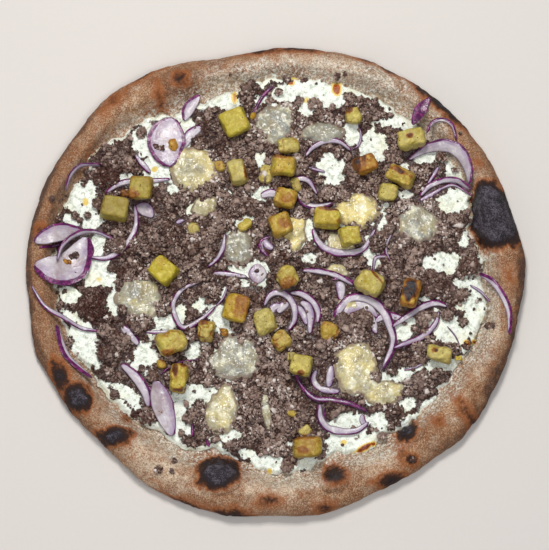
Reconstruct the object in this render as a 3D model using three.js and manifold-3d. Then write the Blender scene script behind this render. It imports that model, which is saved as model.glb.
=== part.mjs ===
// A whole round oven-baked pizza, 32 cm across, in millimetres, +Z up, resting on z = 0.
// A puffed, blistered crust holds a sheet of melted cheese with minced meat baked into it,
// and on that sheet lie diced roast potatoes and shreds and petals of red onion.
// The onions are laid one after another, each resting on what is already there,
// then the potatoes are set down, and the meat fills the places that stay free.

import * as THREE from "three";
import { mergeVertices } from "three/addons/utils/BufferGeometryUtils.js";
import Module from "manifold-3d";

const wasm = await Module();
wasm.setup();

// Driving dimensions of the dough.
const FLOOR_THICKNESS = 4.5; // dough under the toppings
const RIM_HEIGHT = 15.5; // crest of the puffed rim, before its swellings
const RIM_SWELL = 2.2; // how much the crest rises and falls round the pizza
const RIM_CREST = 0.5; // where the crest stands between the rim's foot and its outer edge
const EDGE_HEIGHT = 5; // widest point of the rim's outer side
const UNDERCUT = 5; // how far the underside turns in before it meets the table
const TURN_STEPS = 120; // facets round the crust

// Driving dimensions of the toppings.
const GAP = 0.5; // air between pieces that touch
const CHEESE_TOP = 7.2;
const CHEESE_MARGIN = 2.4; // cheese stops this far short of the rim's foot
const CHEESE_LIP = 1.2; // thickness of the cheese at its edge
const CHEESE_STEPS = 60;
const POOL_RELIEF = 1.5; // how far the richer pools of cheese stand up
const ONION_THICKNESS = 1.5;
const PETAL_CUP = 1.1; // how far a broad petal's edges curl up
const STEP_ALONG = 5.5; // facet length along an onion shred
const PETAL_WIDTH = 7; // from this width on, a piece of onion is a cupped petal and not a shred
const ONION_TIP = 0.3; // width of a shred's tip against its middle
const PETAL_TIP = 0.2; // the same for a petal
const PETAL_POINT = 0.8; // power of the sine that draws a petal in, so that it is more pointed than a shred
const BAKED_IN = 0.7; // how deep a scrap of onion sits in the cheese, in thicknesses
const MEAT_SIZE = [3.6, 5.6]; // radius of the smallest and the largest lumps of mince
const MEAT_LUMPS = 100;
const MEAT_TRIES = 9000; // places that are tried for them
const MEAT_SPACING = 10.2; // least distance between two of them
const MEAT_FLATNESS = 0.62; // height of a lump against its width
const MEAT_RISE = 0.36; // its middle's height over the cheese, in radii
const MEAT_REACH = 1.3; // free ground that a lump needs round its middle, in radii
const POTATO_ROUNDING = 0.3; // how far a die's corners are drawn towards a ball
const POTATO_BALL = 1.25; // radius of that ball, in half widths
const POTATO_TAPER = 0.05; // how much a die narrows towards its top, for each half height
const POTATO_LEAN = 0.22; // how far a die's sides lean at most, in half widths

// Radii of the crust's outer edge and of the foot of its rim, every 15 degrees from +X.
const CRUST_RADII = [
  162, 162, 161, 160, 159, 156, 153, 153, 160, 162, 162, 162,
  162, 161, 158, 156, 157, 157, 156, 155, 155, 158, 160, 161,
];
const FOOT_RADII = [
  135, 131, 138, 138, 136, 134, 131, 128, 128, 138, 143, 144,
  141, 138, 133, 127, 125, 118, 126, 123, 125, 126, 128, 135,
];

// Blisters that the oven raised on the rim: centre, half sizes, turn in degrees and height.
const BLISTERS = [
  { at: [141, 41], half: [14, 21], turn: 15, height: 4 },
  { at: [61, 138], half: [14, 10], turn: -20, height: 3 },
  { at: [-36, -129], half: [16, 14], turn: 0, height: 3.5 },
  { at: [-104, -106], half: [12, 8], turn: 30, height: 2.5 },
  { at: [-128, -79], half: [10, 11], turn: 40, height: 2.5 },
  { at: [38, -133], half: [10, 8], turn: 10, height: 3 },
  { at: [88, -100], half: [9, 8], turn: 0, height: 3 },
  { at: [-62, 132], half: [12, 9], turn: 20, height: 2.5 },
  { at: [108, 113], half: [16, 7], turn: -45, height: 2 },
  { at: [76, -130], half: [9, 6], turn: 20, height: 2 },
  { at: [-145, 62], half: [8, 14], turn: 20, height: 2 },
  { at: [145, -52], half: [9, 14], turn: -15, height: 2 },
];

// Pools of richer melted cheese: centre, half sizes and turn in degrees.
const POOLS = [
  { at: [-53, 74], half: [14, 15], turn: 0 },
  { at: [-46, 48], half: [9, 7], turn: 20 },
  { at: [0, 103], half: [13, 14], turn: 0 },
  { at: [32, 97], half: [15, 7], turn: 5 },
  { at: [54, 45], half: [15, 12], turn: 10 },
  { at: [93, 37], half: [14, 14], turn: 0 },
  { at: [13, 31], half: [8, 12], turn: 0 },
  { at: [-24, 21], half: [9, 11], turn: 0 },
  { at: [-87, -13], half: [14, 15], turn: 0 },
  { at: [-26, -53], half: [17, 15], turn: 15 },
  { at: [-34, -85], half: [11, 16], turn: -10 },
  { at: [53, -59], half: [14, 19], turn: 5 },
  { at: [71, -75], half: [13, 8], turn: 20 },
];

// Places where the cheese shows bare, with no meat on it: centre, half sizes, turn in degrees.
const BARE = [
  [-125, 52, 11, 10, 0], [-118, 38, 7, 4, 20], [-130, 40, 6, 4, 0], [-86, 91, 6, 9, 0],
  [-83, 98, 4, 4, 0], [-77, 73, 8, 10, 0], [-98, 66, 9, 3, 12], [-67, 58, 4, 3, 0], [-56, 46, 3, 3, 0],
  [-57, 102, 4, 5, 0], [-115, 3, 9, 10, 0], [-132, -11, 6, 5, 0], [-115, 22, 4, 7, 0],
  [-105, -17, 4, 7, 0], [-130, -25, 8, 2.5, -30], [-123, -43, 8, 16, 15], [-70, -27, 8, 5, 0],
  [-78, -37, 4, 3, 0], [-84, -51, 10, 8, 0], [-49, -17, 4, 4, 0], [-61, -21, 3, 4, 0],
  [-52, -47, 5, 5, 0], [23, 124, 19, 9, -5], [20, 112, 4, 4, 0], [-30, 117, 7, 5, -20],
  [-41, 116, 5, 2, 30], [-8, 119, 4, 3, 0], [-10, 79, 4, 4.5, 0], [-6, 57, 8, 4, 0],
  [-31, 58, 3, 1.5, 0], [38, 73, 8, 9, 0], [66, 88, 7, 10, 0], [51, 97, 4, 7, 0], [75, 104, 9, 2.5, 0],
  [88, 102, 4, 4, -40], [76, 112, 3, 1.5, 0], [98, 96, 3, 4, 0], [99, 80, 8, 2.5, 15],
  [118, 72, 4.5, 7, 0], [116, 51, 10, 7, 0], [84, 56, 4, 3, 0], [72, 46, 4, 4, 0], [71, 37, 3, 6, 0],
  [85, 74, 3, 2, 0], [-18, 38, 6, 3.5, 30], [-28, 27, 4, 4, 0], [22, 36, 3, 3, 0], [23, 14, 4, 3, 0],
  [24, 28, 2, 5, 30], [-23, 6, 6, 2.5, -15], [-11, 3.5, 6.5, 7, 0], [-20, -3, 4, 2.5, 0],
  [-34, -9, 3, 3, 0], [-37, -24, 7, 6, 0], [-33, -33, 5, 4, 0], [62, 17, 4, 9, 25], [110, 10, 10, 7, 0],
  [124, 25, 3, 4, 0], [136, 10, 4, 7, 0], [120, -5, 5, 4, 0], [132, -3, 8, 6, 0], [128, -16, 8, 6, 0],
  [113, -34, 13, 8, -30], [90, -28, 4, 2.5, 0], [84, -35, 6, 4.5, 0], [98, -13, 3, 1.5, 0],
  [109, -56, 7, 4, 0], [-97, -74, 8, 3, -25], [-112, -68, 6, 2, -15], [-90, -83, 4, 2, -40],
  [-78, -99, 10, 5, -40], [-62, -90, 4, 14, 0], [-54, -77, 11, 7, 0], [-57, -97, 4, 6, 0],
  [-30, -103, 8, 5, 0], [-18, -114, 5, 3, -30], [-1, -121, 11, 5, -10], [8, -108, 3, 2, 0],
  [25, -121, 10, 5, 0], [49, -108, 18, 10, 10], [50, -94, 12, 5, 0], [67, -94, 5, 6, 0],
  [73, -64, 3, 2.5, 0], [84, -63, 7, 4, 10], [96, -60, 6, 3, 0], [87, -82, 5, 4, 0],
  [105, -56, 5, 5, 0],
];

// Dice of roast potato: centre, width and depth, height and turn in degrees.
const POTATOES = [
  { at: [-26, 103], size: [18, 18], height: 13, turn: 25 },
  { at: [-87, 59], size: [15, 16], height: 12, turn: -4 },
  { at: [-104, 46], size: [18, 15], height: 11, turn: -12 },
  { at: [-24, 70], size: [12, 17], height: 11, turn: 14 },
  { at: [-72, 4.5], size: [17, 16], height: 13, turn: -40 },
  { at: [6, 73.5], size: [16, 14], height: 13, turn: -6 },
  { at: [8.5, 87.5], size: [14, 10], height: 9, turn: 8 },
  { at: [7, 52], size: [15, 12], height: 11, turn: -15 },
  { at: [4, 35], size: [15, 15], height: 13, turn: 20 },
  { at: [51, 108], size: [11, 12], height: 9, turn: 5 },
  { at: [89, 91], size: [18, 12], height: 11, turn: 12 },
  { at: [59, 75], size: [15, 12], height: 12, turn: 22 },
  { at: [82, 67], size: [19, 12], height: 12, turn: -25 },
  { at: [74, 56.5], size: [12, 11], height: 10, turn: -10 },
  { at: [34, 39], size: [18, 12.5], height: 12, turn: -4 },
  { at: [49, 27], size: [14, 13], height: 11, turn: 10 },
  { at: [8, -0.5], size: [13, 14], height: 10, turn: 25 },
  { at: [62, -4], size: [19, 15], height: 11, turn: -28 },
  { at: [88, -11], size: [12, 20], height: 12, turn: -12 },
  { at: [-25, -20], size: [17, 19], height: 12, turn: -16 },
  { at: [-6, -29], size: [14, 16], height: 11, turn: 20 },
  { at: [4, -42], size: [12, 12], height: 10, turn: 35 },
  { at: [-67, -43], size: [19, 16], height: 11, turn: 24 },
  { at: [-44.5, -35], size: [12, 14], height: 10, turn: -10 },
  { at: [-62, -66], size: [12, 20], height: 12, turn: -6 },
  { at: [17, -58], size: [15, 14], height: 12, turn: -14 },
  { at: [107, -49.5], size: [17, 10], height: 10, turn: -15 },
  { at: [21, -111], size: [19, 13], height: 12, turn: 4 },
];

// Red onion, in the order in which it is laid: the points each piece runs through and its width.
const ONIONS = [
  { through: [[-59, 105], [-56, 113], [-49, 122]], width: 8 },
  { through: [[-67, 107], [-70.5, 91], [-68, 74]], width: 25 },
  { through: [[-136, 57], [-133, 67], [-126, 74], [-113, 75]], width: 2.5 },
  { through: [[-110, 57], [-101, 63], [-90, 65], [-79, 65], [-68, 66]], width: 4 },
  { through: [[-91, 49], [-90, 36], [-96, 23], [-108, 14], [-121, 14]], width: 4 },
  { through: [[-156, 23], [-141, 29], [-125, 32]], width: 12 },
  { through: [[-156, 7], [-134, 6], [-121, 27]], width: 22 },
  { through: [[-141, 10], [-138, 20], [-130, 28], [-118, 31], [-104, 26]], width: 3 },
  { through: [[20, 81], [25, 87], [33, 91], [42, 91], [50, 85]], width: 3.5 },
  { through: [[10, 61], [15, 66], [22, 65], [28, 56]], width: 3.5 },
  { through: [[14, 57], [19, 50], [28, 47.5], [38, 50]], width: 4 },
  { through: [[101.5, 118.5], [95, 110], [90, 101]], width: 7.5 },
  { through: [[99, 95], [103, 102], [110, 104], [116, 100], [118.5, 90]], width: 2.8 },
  { through: [[87, 79], [100, 86], [112, 87], [121, 82], [126, 72], [127, 61]], width: 8 },
  { through: [[95, 55], [101, 61.5], [110, 65], [119, 64.5], [128, 58.5]], width: 4 },
  { through: [[25, 33], [28, 25], [35, 19], [46, 17], [58, 20], [66, 33]], width: 5 },
  { through: [[18, 5.5], [29, 5], [40, 2.5], [52, -4]], width: 4 },
  { through: [[-158, -5], [-149, -19], [-137, -26], [-125, -32.5], [-114, -34.5]], width: 3 },
  { through: [[-141, -31], [-138, -43], [-133, -53], [-118, -66]], width: 4.5 },
  { through: [[-47, -1], [-60, -7], [-66, -18], [-60, -32], [-48, -27], [-38, -18]], width: 3.5 },
  { through: [[-99, -56], [-91, -63], [-84, -73], [-81, -84]], width: 6.5 },
  { through: [[-77, -67], [-72, -84], [-66, -103]], width: 14 },
  { through: [[-7, -18], [-3, -11], [3, -9], [9, -12], [13, -19], [13, -27], [9, -34]], width: 4.5 },
  { through: [[10, -9], [18, -10], [25, -15], [28.5, -22], [28, -29]], width: 4.5 },
  { through: [[40, -31], [41, -22], [49, -13], [60, -13], [70, -20],
    [75, -31], [77, -43], [70, -60]], width: 6 },
  { through: [[76, -32], [86, -25], [97, -18], [105, -16], [112, -18]], width: 4.5 },
  { through: [[107, -21], [104, -30], [96, -38], [87, -42], [77, -46]], width: 4 },
  { through: [[133, 3], [141, -3], [148, -13], [152, -24], [152, -38]], width: 4.2 },
  { through: [[13, -62], [18, -71], [26, -78.5], [37, -79.5], [49, -82], [60, -87]], width: 3.5 },
  { through: [[29, -82], [29.5, -91], [34, -97.5], [43, -100], [53, -99.5], [61, -94]], width: 5 },
];

// Shorter scraps of onion that have baked into the cheese.
const ONION_SCRAPS = [
  { through: [[-60, 87], [-55, 96], [-48, 101]], width: 6.5 },
  { through: [[-91, 82], [-86, 76], [-81, 70]], width: 4 },
  { through: [[-32, 30], [-33, 22], [-36, 15], [-43, 8]], width: 3.5 },
  { through: [[-40, 4], [-31, 3.5], [-18, 1.5]], width: 3.6 },
  { through: [[-3, 28], [-8.5, 25], [-8.5, 19.5], [-4, 15]], width: 3.4 },
  { through: [[27, -60], [25, -66], [29, -71.5], [36, -73.5], [42, -74]], width: 4 },
  { through: [[-99, -31], [-94, -36], [-88, -43]], width: 6 },
  { through: [[37, -57], [36, -64], [35, -71]], width: 5 },
  { through: [[17, -15], [21.5, -18], [23.5, -25], [23, -36]], width: 4 },
  { through: [[41, -2], [43, -6], [43, -10]], width: 6 },
  { through: [[-11, 10], [-11, 3.5], [-11, -3]], width: 12 },
];

// Steady pseudo-random numbers from 0 to 1, the same on every run.
function seeded(seed) {
  let state = seed;
  return () => {
    state = (state * 1664525 + 1013904223) % 4294967296;
    return state / 4294967296;
  };
}

// A closed ring of values read at any angle, with a smooth curve through them.
function around(values, angle) {
  const place = (((angle / (2 * Math.PI)) % 1) + 1) % 1 * values.length;
  const before = Math.floor(place);
  const share = place - before;
  const at = (i) => values[(before + i + values.length) % values.length];
  const slopeIn = (at(1) - at(-1)) / 2;
  const slopeOut = (at(2) - at(0)) / 2;
  const square = share * share;
  const cube = square * share;
  return (2 * cube - 3 * square + 1) * at(0) + (cube - 2 * square + share) * slopeIn
    + (3 * square - 2 * cube) * at(1) + (cube - square) * slopeOut;
}

// How far inside an ellipse a point lies: 1 at its centre, 0 at its edge and beyond.
function inside(x, y, [cx, cy], [halfX, halfY], turn) {
  const angle = THREE.MathUtils.degToRad(turn);
  const along = (x - cx) * Math.cos(angle) + (y - cy) * Math.sin(angle);
  const across = (y - cy) * Math.cos(angle) - (x - cx) * Math.sin(angle);
  return Math.max(0, 1 - (along / halfX) ** 2 - (across / halfY) ** 2);
}

// Low scallops that tearing and proving leave along the crust's edge.
function crustEdge(angle) {
  return around(CRUST_RADII, angle) + 0.7 * Math.sin(9 * angle + 1) + 0.5 * Math.sin(17 * angle);
}

function rimFoot(angle) {
  return around(FOOT_RADII, angle) + 0.8 * Math.sin(13 * angle + 2);
}

function rimHeight(angle) {
  const wide = 0.5 * Math.sin(3 * angle + 0.8);
  const narrow = 0.3 * Math.sin(7 * angle) + 0.2 * Math.sin(11 * angle + 2);
  return RIM_HEIGHT + RIM_SWELL * (wide + narrow);
}

function blisterRelief(x, y) {
  return Math.max(...BLISTERS.map((b) => b.height * Math.sqrt(inside(x, y, b.at, b.half, b.turn))));
}

function cheeseHeight(x, y) {
  const waves = 0.45 * Math.sin(x / 17 + 1) * Math.cos(y / 13) + 0.3 * Math.sin(x / 9 - y / 11 + 2);
  const pools = POOLS.map((p) => Math.sqrt(inside(x, y, p.at, p.half, p.turn)));
  return CHEESE_TOP + waves + POOL_RELIEF * Math.max(...pools);
}

// A closed surface from rings of points, the first and last rings closed by one point each.
function ringSolid(rings, steps, startPoint, endPoint) {
  const points = [startPoint, ...rings.flat(), endPoint];
  const last = points.length - 1;
  const index = (ring, step) => 1 + ring * steps + (step % steps);
  const faces = [];
  for (let step = 0; step < steps; step++) {
    faces.push(0, index(0, step), index(0, step + 1));
    for (let ring = 0; ring + 1 < rings.length; ring++) {
      const [a, b] = [index(ring, step), index(ring, step + 1)];
      const [c, d] = [index(ring + 1, step), index(ring + 1, step + 1)];
      faces.push(a, c, b, b, c, d);
    }
    faces.push(last, index(rings.length - 1, step + 1), index(rings.length - 1, step));
  }
  return surface(points, faces);
}

function surface(points, faces) {
  const geometry = new THREE.BufferGeometry();
  geometry.setAttribute("position", new THREE.Float32BufferAttribute(points.flat(), 3));
  geometry.setIndex(faces);
  geometry.computeVertexNormals();
  return geometry;
}

// One ring: a point at each angle, from a radius and a height that depend on the angle.
function ring(steps, radiusAt, heightAt) {
  return Array.from({ length: steps }, (_, step) => {
    const angle = (2 * Math.PI * step) / steps;
    const [x, y] = [radiusAt(angle) * Math.cos(angle), radiusAt(angle) * Math.sin(angle)];
    return [x, y, heightAt(angle, x, y)];
  });
}

// The crust: a flat floor, a slope up to the crest, a round outer shoulder and a turned-in underside.
function crustGeometry() {
  const between = (share) => (angle) => THREE.MathUtils.lerp(rimFoot(angle), crustEdge(angle), share);
  const rings = [
    ring(TURN_STEPS, (angle) => 0.6 * rimFoot(angle), () => FLOOR_THICKNESS),
    ring(TURN_STEPS, rimFoot, () => FLOOR_THICKNESS),
  ];
  for (const climb of [0.25, 0.5, 0.75, 1]) {
    const rise = Math.sin((Math.PI / 2) * climb) ** 2;
    const height = (angle, x, y) =>
      FLOOR_THICKNESS + (rimHeight(angle) - FLOOR_THICKNESS) * rise + rise * blisterRelief(x, y);
    rings.push(ring(TURN_STEPS, between(RIM_CREST * climb), height));
  }
  for (const fall of [25, 50, 72, 90]) {
    const angleDown = THREE.MathUtils.degToRad(fall);
    const share = RIM_CREST + (1 - RIM_CREST) * Math.sin(angleDown);
    const height = (angle, x, y) =>
      EDGE_HEIGHT + (rimHeight(angle) - EDGE_HEIGHT + blisterRelief(x, y)) * Math.cos(angleDown);
    rings.push(ring(TURN_STEPS, between(share), height));
  }
  for (const under of [45, 90]) {
    const angleIn = THREE.MathUtils.degToRad(under);
    const radius = (angle) => crustEdge(angle) - UNDERCUT * (1 - Math.cos(angleIn));
    rings.push(ring(TURN_STEPS, radius, () => EDGE_HEIGHT * (1 - Math.sin(angleIn))));
  }
  return ringSolid(rings, TURN_STEPS, [0, 0, FLOOR_THICKNESS], [0, 0, 0]);
}

// The sheet of melted cheese, before the meat is baked into it.
function cheeseGeometry() {
  const edge = (angle) => rimFoot(angle) - CHEESE_MARGIN;
  const bottom = FLOOR_THICKNESS + GAP;
  const rings = [0.12, 0.26, 0.4, 0.54, 0.67, 0.79, 0.9, 0.97].map((share) =>
    ring(CHEESE_STEPS, (angle) => share * edge(angle), (angle, x, y) => cheeseHeight(x, y)));
  rings.push(ring(CHEESE_STEPS, edge, () => bottom + CHEESE_LIP));
  rings.push(ring(CHEESE_STEPS, edge, () => bottom));
  return ringSolid(rings, CHEESE_STEPS, [0, 0, cheeseHeight(0, 0)], [0, 0, bottom]);
}

// A strip of onion: it follows a curve, tapers to both ends and rests on the ground below it.
// Both faces are split into the same quads; a broad petal has a third row that leaves its edges curled up.
function onionGeometry({ through, width }, groundAt, stepLength) {
  const curve = new THREE.CatmullRomCurve3(
    through.map(([x, y]) => new THREE.Vector3(x, y, 0)), false, "catmullrom", 0.5);
  const steps = Math.max(4, Math.round(curve.getLength() / stepLength));
  const broad = width >= PETAL_WIDTH;
  const lanes = broad ? [-1, 0, 1] : [-1, 1];
  const [tip, power] = broad ? [PETAL_TIP, PETAL_POINT] : [ONION_TIP, 0.5];
  const fullness = (share) => tip + (1 - tip) * Math.max(0, Math.sin(Math.PI * share)) ** power;
  const halfWidth = (share) => (width / 2) * fullness(share);
  const place = (share, lane) => {
    const point = curve.getPoint(share);
    const along = curve.getTangent(share);
    return [point.x - along.y * lane * halfWidth(share), point.y + along.x * lane * halfWidth(share)];
  };
  const groundBeside = (share, lane, shift) =>
    groundAt(...place(share, THREE.MathUtils.clamp(lane + shift, -1, 1)));
  const heights = lanes.map((lane) => restingHeights(steps, (share) =>
    Math.max(...[-0.5, 0, 0.5].map((shift) => groundBeside(share, lane, shift)))));
  const rows = Array.from({ length: steps + 1 }, (_, i) =>
    lanes.map((lane, n) => {
      const [x, y] = place(i / steps, lane);
      const curl = broad ? PETAL_CUP * lane * lane * Math.sin((Math.PI * i) / steps) : 0;
      return [x, y, heights[n][i] + curl];
    }));
  const top = rows.flat().map(([x, y, z]) => [x, y, z + ONION_THICKNESS]);
  const bottom = rows.flat();
  const count = lanes.length;
  const under = top.length;
  const faces = [];
  const quad = (a, b, c, d) => faces.push(a, b, c, a, c, d);
  for (let i = 0; i < steps; i++) {
    for (let n = 0; n + 1 < count; n++) {
      const [a, b, c, d] = [i * count + n, i * count + n + 1, (i + 1) * count + n + 1, (i + 1) * count + n];
      quad(a, d, c, b);
      quad(under + a, under + b, under + c, under + d);
    }
    const [left, nextLeft] = [i * count, (i + 1) * count];
    const [right, nextRight] = [left + count - 1, nextLeft + count - 1];
    quad(left, under + left, under + nextLeft, nextLeft);
    quad(right, nextRight, under + nextRight, under + right);
  }
  for (let n = 0; n + 1 < count; n++) {
    const end = steps * count + n;
    quad(n, n + 1, under + n + 1, under + n);
    quad(end, under + end, under + end + 1, end + 1);
  }
  return surface([...top, ...bottom], faces);
}

// The height of a limp strip at each step: the highest ground near that step, smoothed along the strip.
function restingHeights(steps, groundAlong) {
  const fine = 4;
  const ground = Array.from({ length: steps * fine + 1 }, (_, i) => groundAlong(i / (steps * fine)));
  const highest = Array.from({ length: steps + 1 }, (_, i) =>
    Math.max(...ground.slice(Math.max(0, (i - 1) * fine), (i + 1) * fine + 1)));
  const near = (values, i) => values.slice(Math.max(0, i - 1), i + 2);
  const lifted = highest.map((_, i) => Math.max(...near(highest, i)));
  return lifted.map((_, i) => {
    const values = near(lifted, i);
    return values.reduce((sum, value) => sum + value, 0) / values.length + GAP;
  });
}

// A die of potato: a box whose corners are rounded towards a ball, with sides that lean unevenly.
function potatoGeometry({ size: [width, depth], height }, draw) {
  const geometry = new THREE.BoxGeometry(2, 2, 2, 2, 2, 2);
  const lean = [draw() - 0.5, draw() - 0.5].map((value) => value * POTATO_LEAN);
  const position = geometry.attributes.position;
  const point = new THREE.Vector3();
  for (let i = 0; i < position.count; i++) {
    point.fromBufferAttribute(position, i);
    const ball = point.clone().normalize().multiplyScalar(POTATO_BALL);
    point.lerp(ball, POTATO_ROUNDING);
    const narrowing = 1 - POTATO_TAPER * (point.z + 1);
    position.setXYZ(i,
      (point.x * narrowing + lean[0] * point.z) * width / 2,
      (point.y * narrowing + lean[1] * point.z) * depth / 2,
      point.z * height / 2);
  }
  geometry.computeVertexNormals();
  return geometry;
}

// A lump of mince: a rough ball, flattened and turned at random.
function lumpGeometry(radius, x, y, z, draw) {
  const geometry = new THREE.IcosahedronGeometry(radius, 0);
  geometry.rotateZ(draw() * 2 * Math.PI);
  geometry.rotateX(draw() * Math.PI);
  geometry.scale(0.85 + 0.4 * draw(), 0.85 + 0.4 * draw(), MEAT_FLATNESS);
  geometry.translate(x, y, z);
  return geometry;
}

function toSolid(geometry) {
  const bare = new THREE.BufferGeometry();
  bare.setAttribute("position", geometry.getAttribute("position").clone());
  bare.setIndex(geometry.index);
  const merged = mergeVertices(bare, 1e-3);
  return new wasm.Manifold(new wasm.Mesh({
    numProp: 3,
    vertProperties: merged.attributes.position.array,
    triVerts: new Uint32Array(merged.index.array),
  }));
}

function toGeometry(solid) {
  const mesh = solid.getMesh();
  const geometry = new THREE.BufferGeometry();
  geometry.setAttribute("position", new THREE.BufferAttribute(mesh.vertProperties, 3));
  geometry.setIndex(new THREE.BufferAttribute(mesh.triVerts, 1));
  geometry.computeVertexNormals();
  return geometry;
}

function material(color, roughness) {
  return new THREE.MeshStandardMaterial({ color, roughness, metalness: 0, side: THREE.DoubleSide });
}

function addMesh(group, name, geometry, colour, roughness) {
  const mesh = new THREE.Mesh(geometry, material(colour, roughness));
  mesh.name = name;
  group.add(mesh);
  mesh.updateMatrixWorld(true);
  return mesh;
}

const numbered = (word, i) => `${word}_${String(i + 1).padStart(2, "0")}`;

// The height of the highest of the given meshes under a point.
function groundOn(meshes) {
  const ray = new THREE.Raycaster();
  const down = new THREE.Vector3(0, 0, -1);
  return (x, y) => {
    ray.set(new THREE.Vector3(x, y, 100), down);
    const hits = ray.intersectObjects(meshes, false);
    return hits.length ? hits[0].point.z : 0;
  };
}

// Lays the onions one by one, each on the ground and on those before it.
function layOnions(group, ground) {
  const onions = [];
  ONIONS.forEach((onion, i) => {
    const geometry = onionGeometry(onion, groundOn([...ground, ...onions]), STEP_ALONG);
    onions.push(addMesh(group, numbered("onion", i), geometry, 0xb99bb8, 0.35));
  });
  return onions;
}

// Each die is set down on the highest ground under its footprint.
function setPotatoes(group, ground) {
  const draw = seeded(11);
  const groundAt = groundOn(ground);
  return POTATOES.map((potato, i) => {
    const { at: [x, y], size: [width, depth], height, turn } = potato;
    const mesh = addMesh(group, numbered("potato", i), potatoGeometry(potato, draw), 0xd8b23c, 0.5);
    mesh.rotation.z = THREE.MathUtils.degToRad(turn);
    mesh.position.set(x, y, 0);
    mesh.updateMatrixWorld(true);
    const spread = [-0.5, -0.25, 0, 0.25, 0.5];
    const footprint = spread.flatMap((u) => spread.map((v) =>
      mesh.localToWorld(new THREE.Vector3(u * width, v * depth, 0))));
    const highest = Math.max(...footprint.map((point) => groundAt(point.x, point.y)));
    mesh.position.z = highest + GAP + height / 2;
    mesh.updateMatrixWorld(true);
    return mesh;
  });
}

// Fuses into the cheese the scraps of onion and as many lumps of mince as find a free place.
function bakeInToppings(cheese, pieces) {
  const groundAt = groundOn(pieces);
  const cheeseAt = groundOn([cheese]);
  const clear = (x, y) => groundAt(x, y) === 0;
  const directions = Array.from({ length: 24 }, (_, i) => (Math.PI * i) / 12);
  const ringClear = (x, y, radius) => directions.every((angle) =>
    clear(x + radius * Math.cos(angle), y + radius * Math.sin(angle)));
  const free = (x, y, reach) =>
    clear(x, y) && [0.3, 0.55, 0.8, 1].every((share) => ringClear(x, y, share * reach));
  const sink = BAKED_IN * ONION_THICKNESS;
  let solid = toSolid(cheese.geometry);
  for (const scrap of ONION_SCRAPS) {
    solid = solid.add(toSolid(onionGeometry(scrap, (x, y) => cheeseAt(x, y) - sink, 2 * STEP_ALONG)));
  }
  const draw = seeded(5);
  const lumps = [];
  for (let tries = 0; tries < MEAT_TRIES && lumps.length < MEAT_LUMPS; tries++) {
    const angle = draw() * 2 * Math.PI;
    const radius = THREE.MathUtils.lerp(MEAT_SIZE[1], MEAT_SIZE[0], tries / MEAT_TRIES);
    const farthest = rimFoot(angle) - CHEESE_MARGIN - 1.6 * radius;
    const reach = farthest * Math.sqrt(draw());
    const [x, y] = [reach * Math.cos(angle), reach * Math.sin(angle)];
    const bare = BARE.some(([cx, cy, halfX, halfY, turn]) =>
      inside(x, y, [cx, cy], [halfX, halfY], turn) > 0);
    const pooled = POOLS.some((pool) => inside(x, y, pool.at, pool.half, pool.turn) > 0);
    const crowded = lumps.some((other) => Math.hypot(x - other[0], y - other[1]) < MEAT_SPACING);
    if (!bare && !pooled && !crowded && free(x, y, MEAT_REACH * radius + GAP)) {
      lumps.push([x, y]);
      solid = solid.add(toSolid(lumpGeometry(radius, x, y, cheeseAt(x, y) + MEAT_RISE * radius, draw)));
    }
  }
  return toGeometry(largestShell(solid));
}

// Fills the hollows that fusing has sealed and drops loose scraps.
function largestShell(solid) {
  return solid.decompose().reduce((best, shell) => (shell.volume() > best.volume() ? shell : best));
}

const pizza = new THREE.Group();
const base = new THREE.Group();
const toppings = new THREE.Group();
pizza.add(base, toppings);

const crust = addMesh(base, "crust", crustGeometry(), 0xb98a62, 0.8);
const cheese = addMesh(base, "cheese_with_mince", cheeseGeometry(), 0xeeead8, 0.4);
const onions = layOnions(toppings, [crust, cheese]);
const potatoes = setPotatoes(toppings, [crust, cheese, ...onions]);
cheese.geometry = bakeInToppings(cheese, [...onions, ...potatoes]);

export default pizza;
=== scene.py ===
import functools
import math

import bpy
import numpy as np
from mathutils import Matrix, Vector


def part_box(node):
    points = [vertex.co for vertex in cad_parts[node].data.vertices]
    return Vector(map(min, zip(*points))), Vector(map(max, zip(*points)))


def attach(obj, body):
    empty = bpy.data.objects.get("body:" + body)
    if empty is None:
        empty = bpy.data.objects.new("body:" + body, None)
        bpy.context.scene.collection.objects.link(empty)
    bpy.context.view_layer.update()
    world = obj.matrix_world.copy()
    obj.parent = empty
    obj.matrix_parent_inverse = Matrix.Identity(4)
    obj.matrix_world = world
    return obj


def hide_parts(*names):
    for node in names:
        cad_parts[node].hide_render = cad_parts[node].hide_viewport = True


bl_info = {
    "name": "Baked pizza dressing",
    "version": (1, 0, 0),
    "blender": (4, 5, 0),
    "location": "View3D > Sidebar > Pizza",
    "description": "Builds the crust, cheese, mince, onion and potato of a baked pizza round its solids",
    "category": "Object",
}

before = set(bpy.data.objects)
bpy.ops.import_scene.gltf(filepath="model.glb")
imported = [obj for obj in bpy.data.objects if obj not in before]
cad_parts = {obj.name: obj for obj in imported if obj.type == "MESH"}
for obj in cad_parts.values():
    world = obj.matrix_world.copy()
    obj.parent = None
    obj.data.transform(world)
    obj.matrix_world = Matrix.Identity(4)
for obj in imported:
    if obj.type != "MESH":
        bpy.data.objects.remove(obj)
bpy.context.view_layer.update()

# Lengths below are in millimetres, as in the part's source. MM turns them into metres.
MM = 0.001
BODY = "root"
TURN = 2 * np.pi

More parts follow.
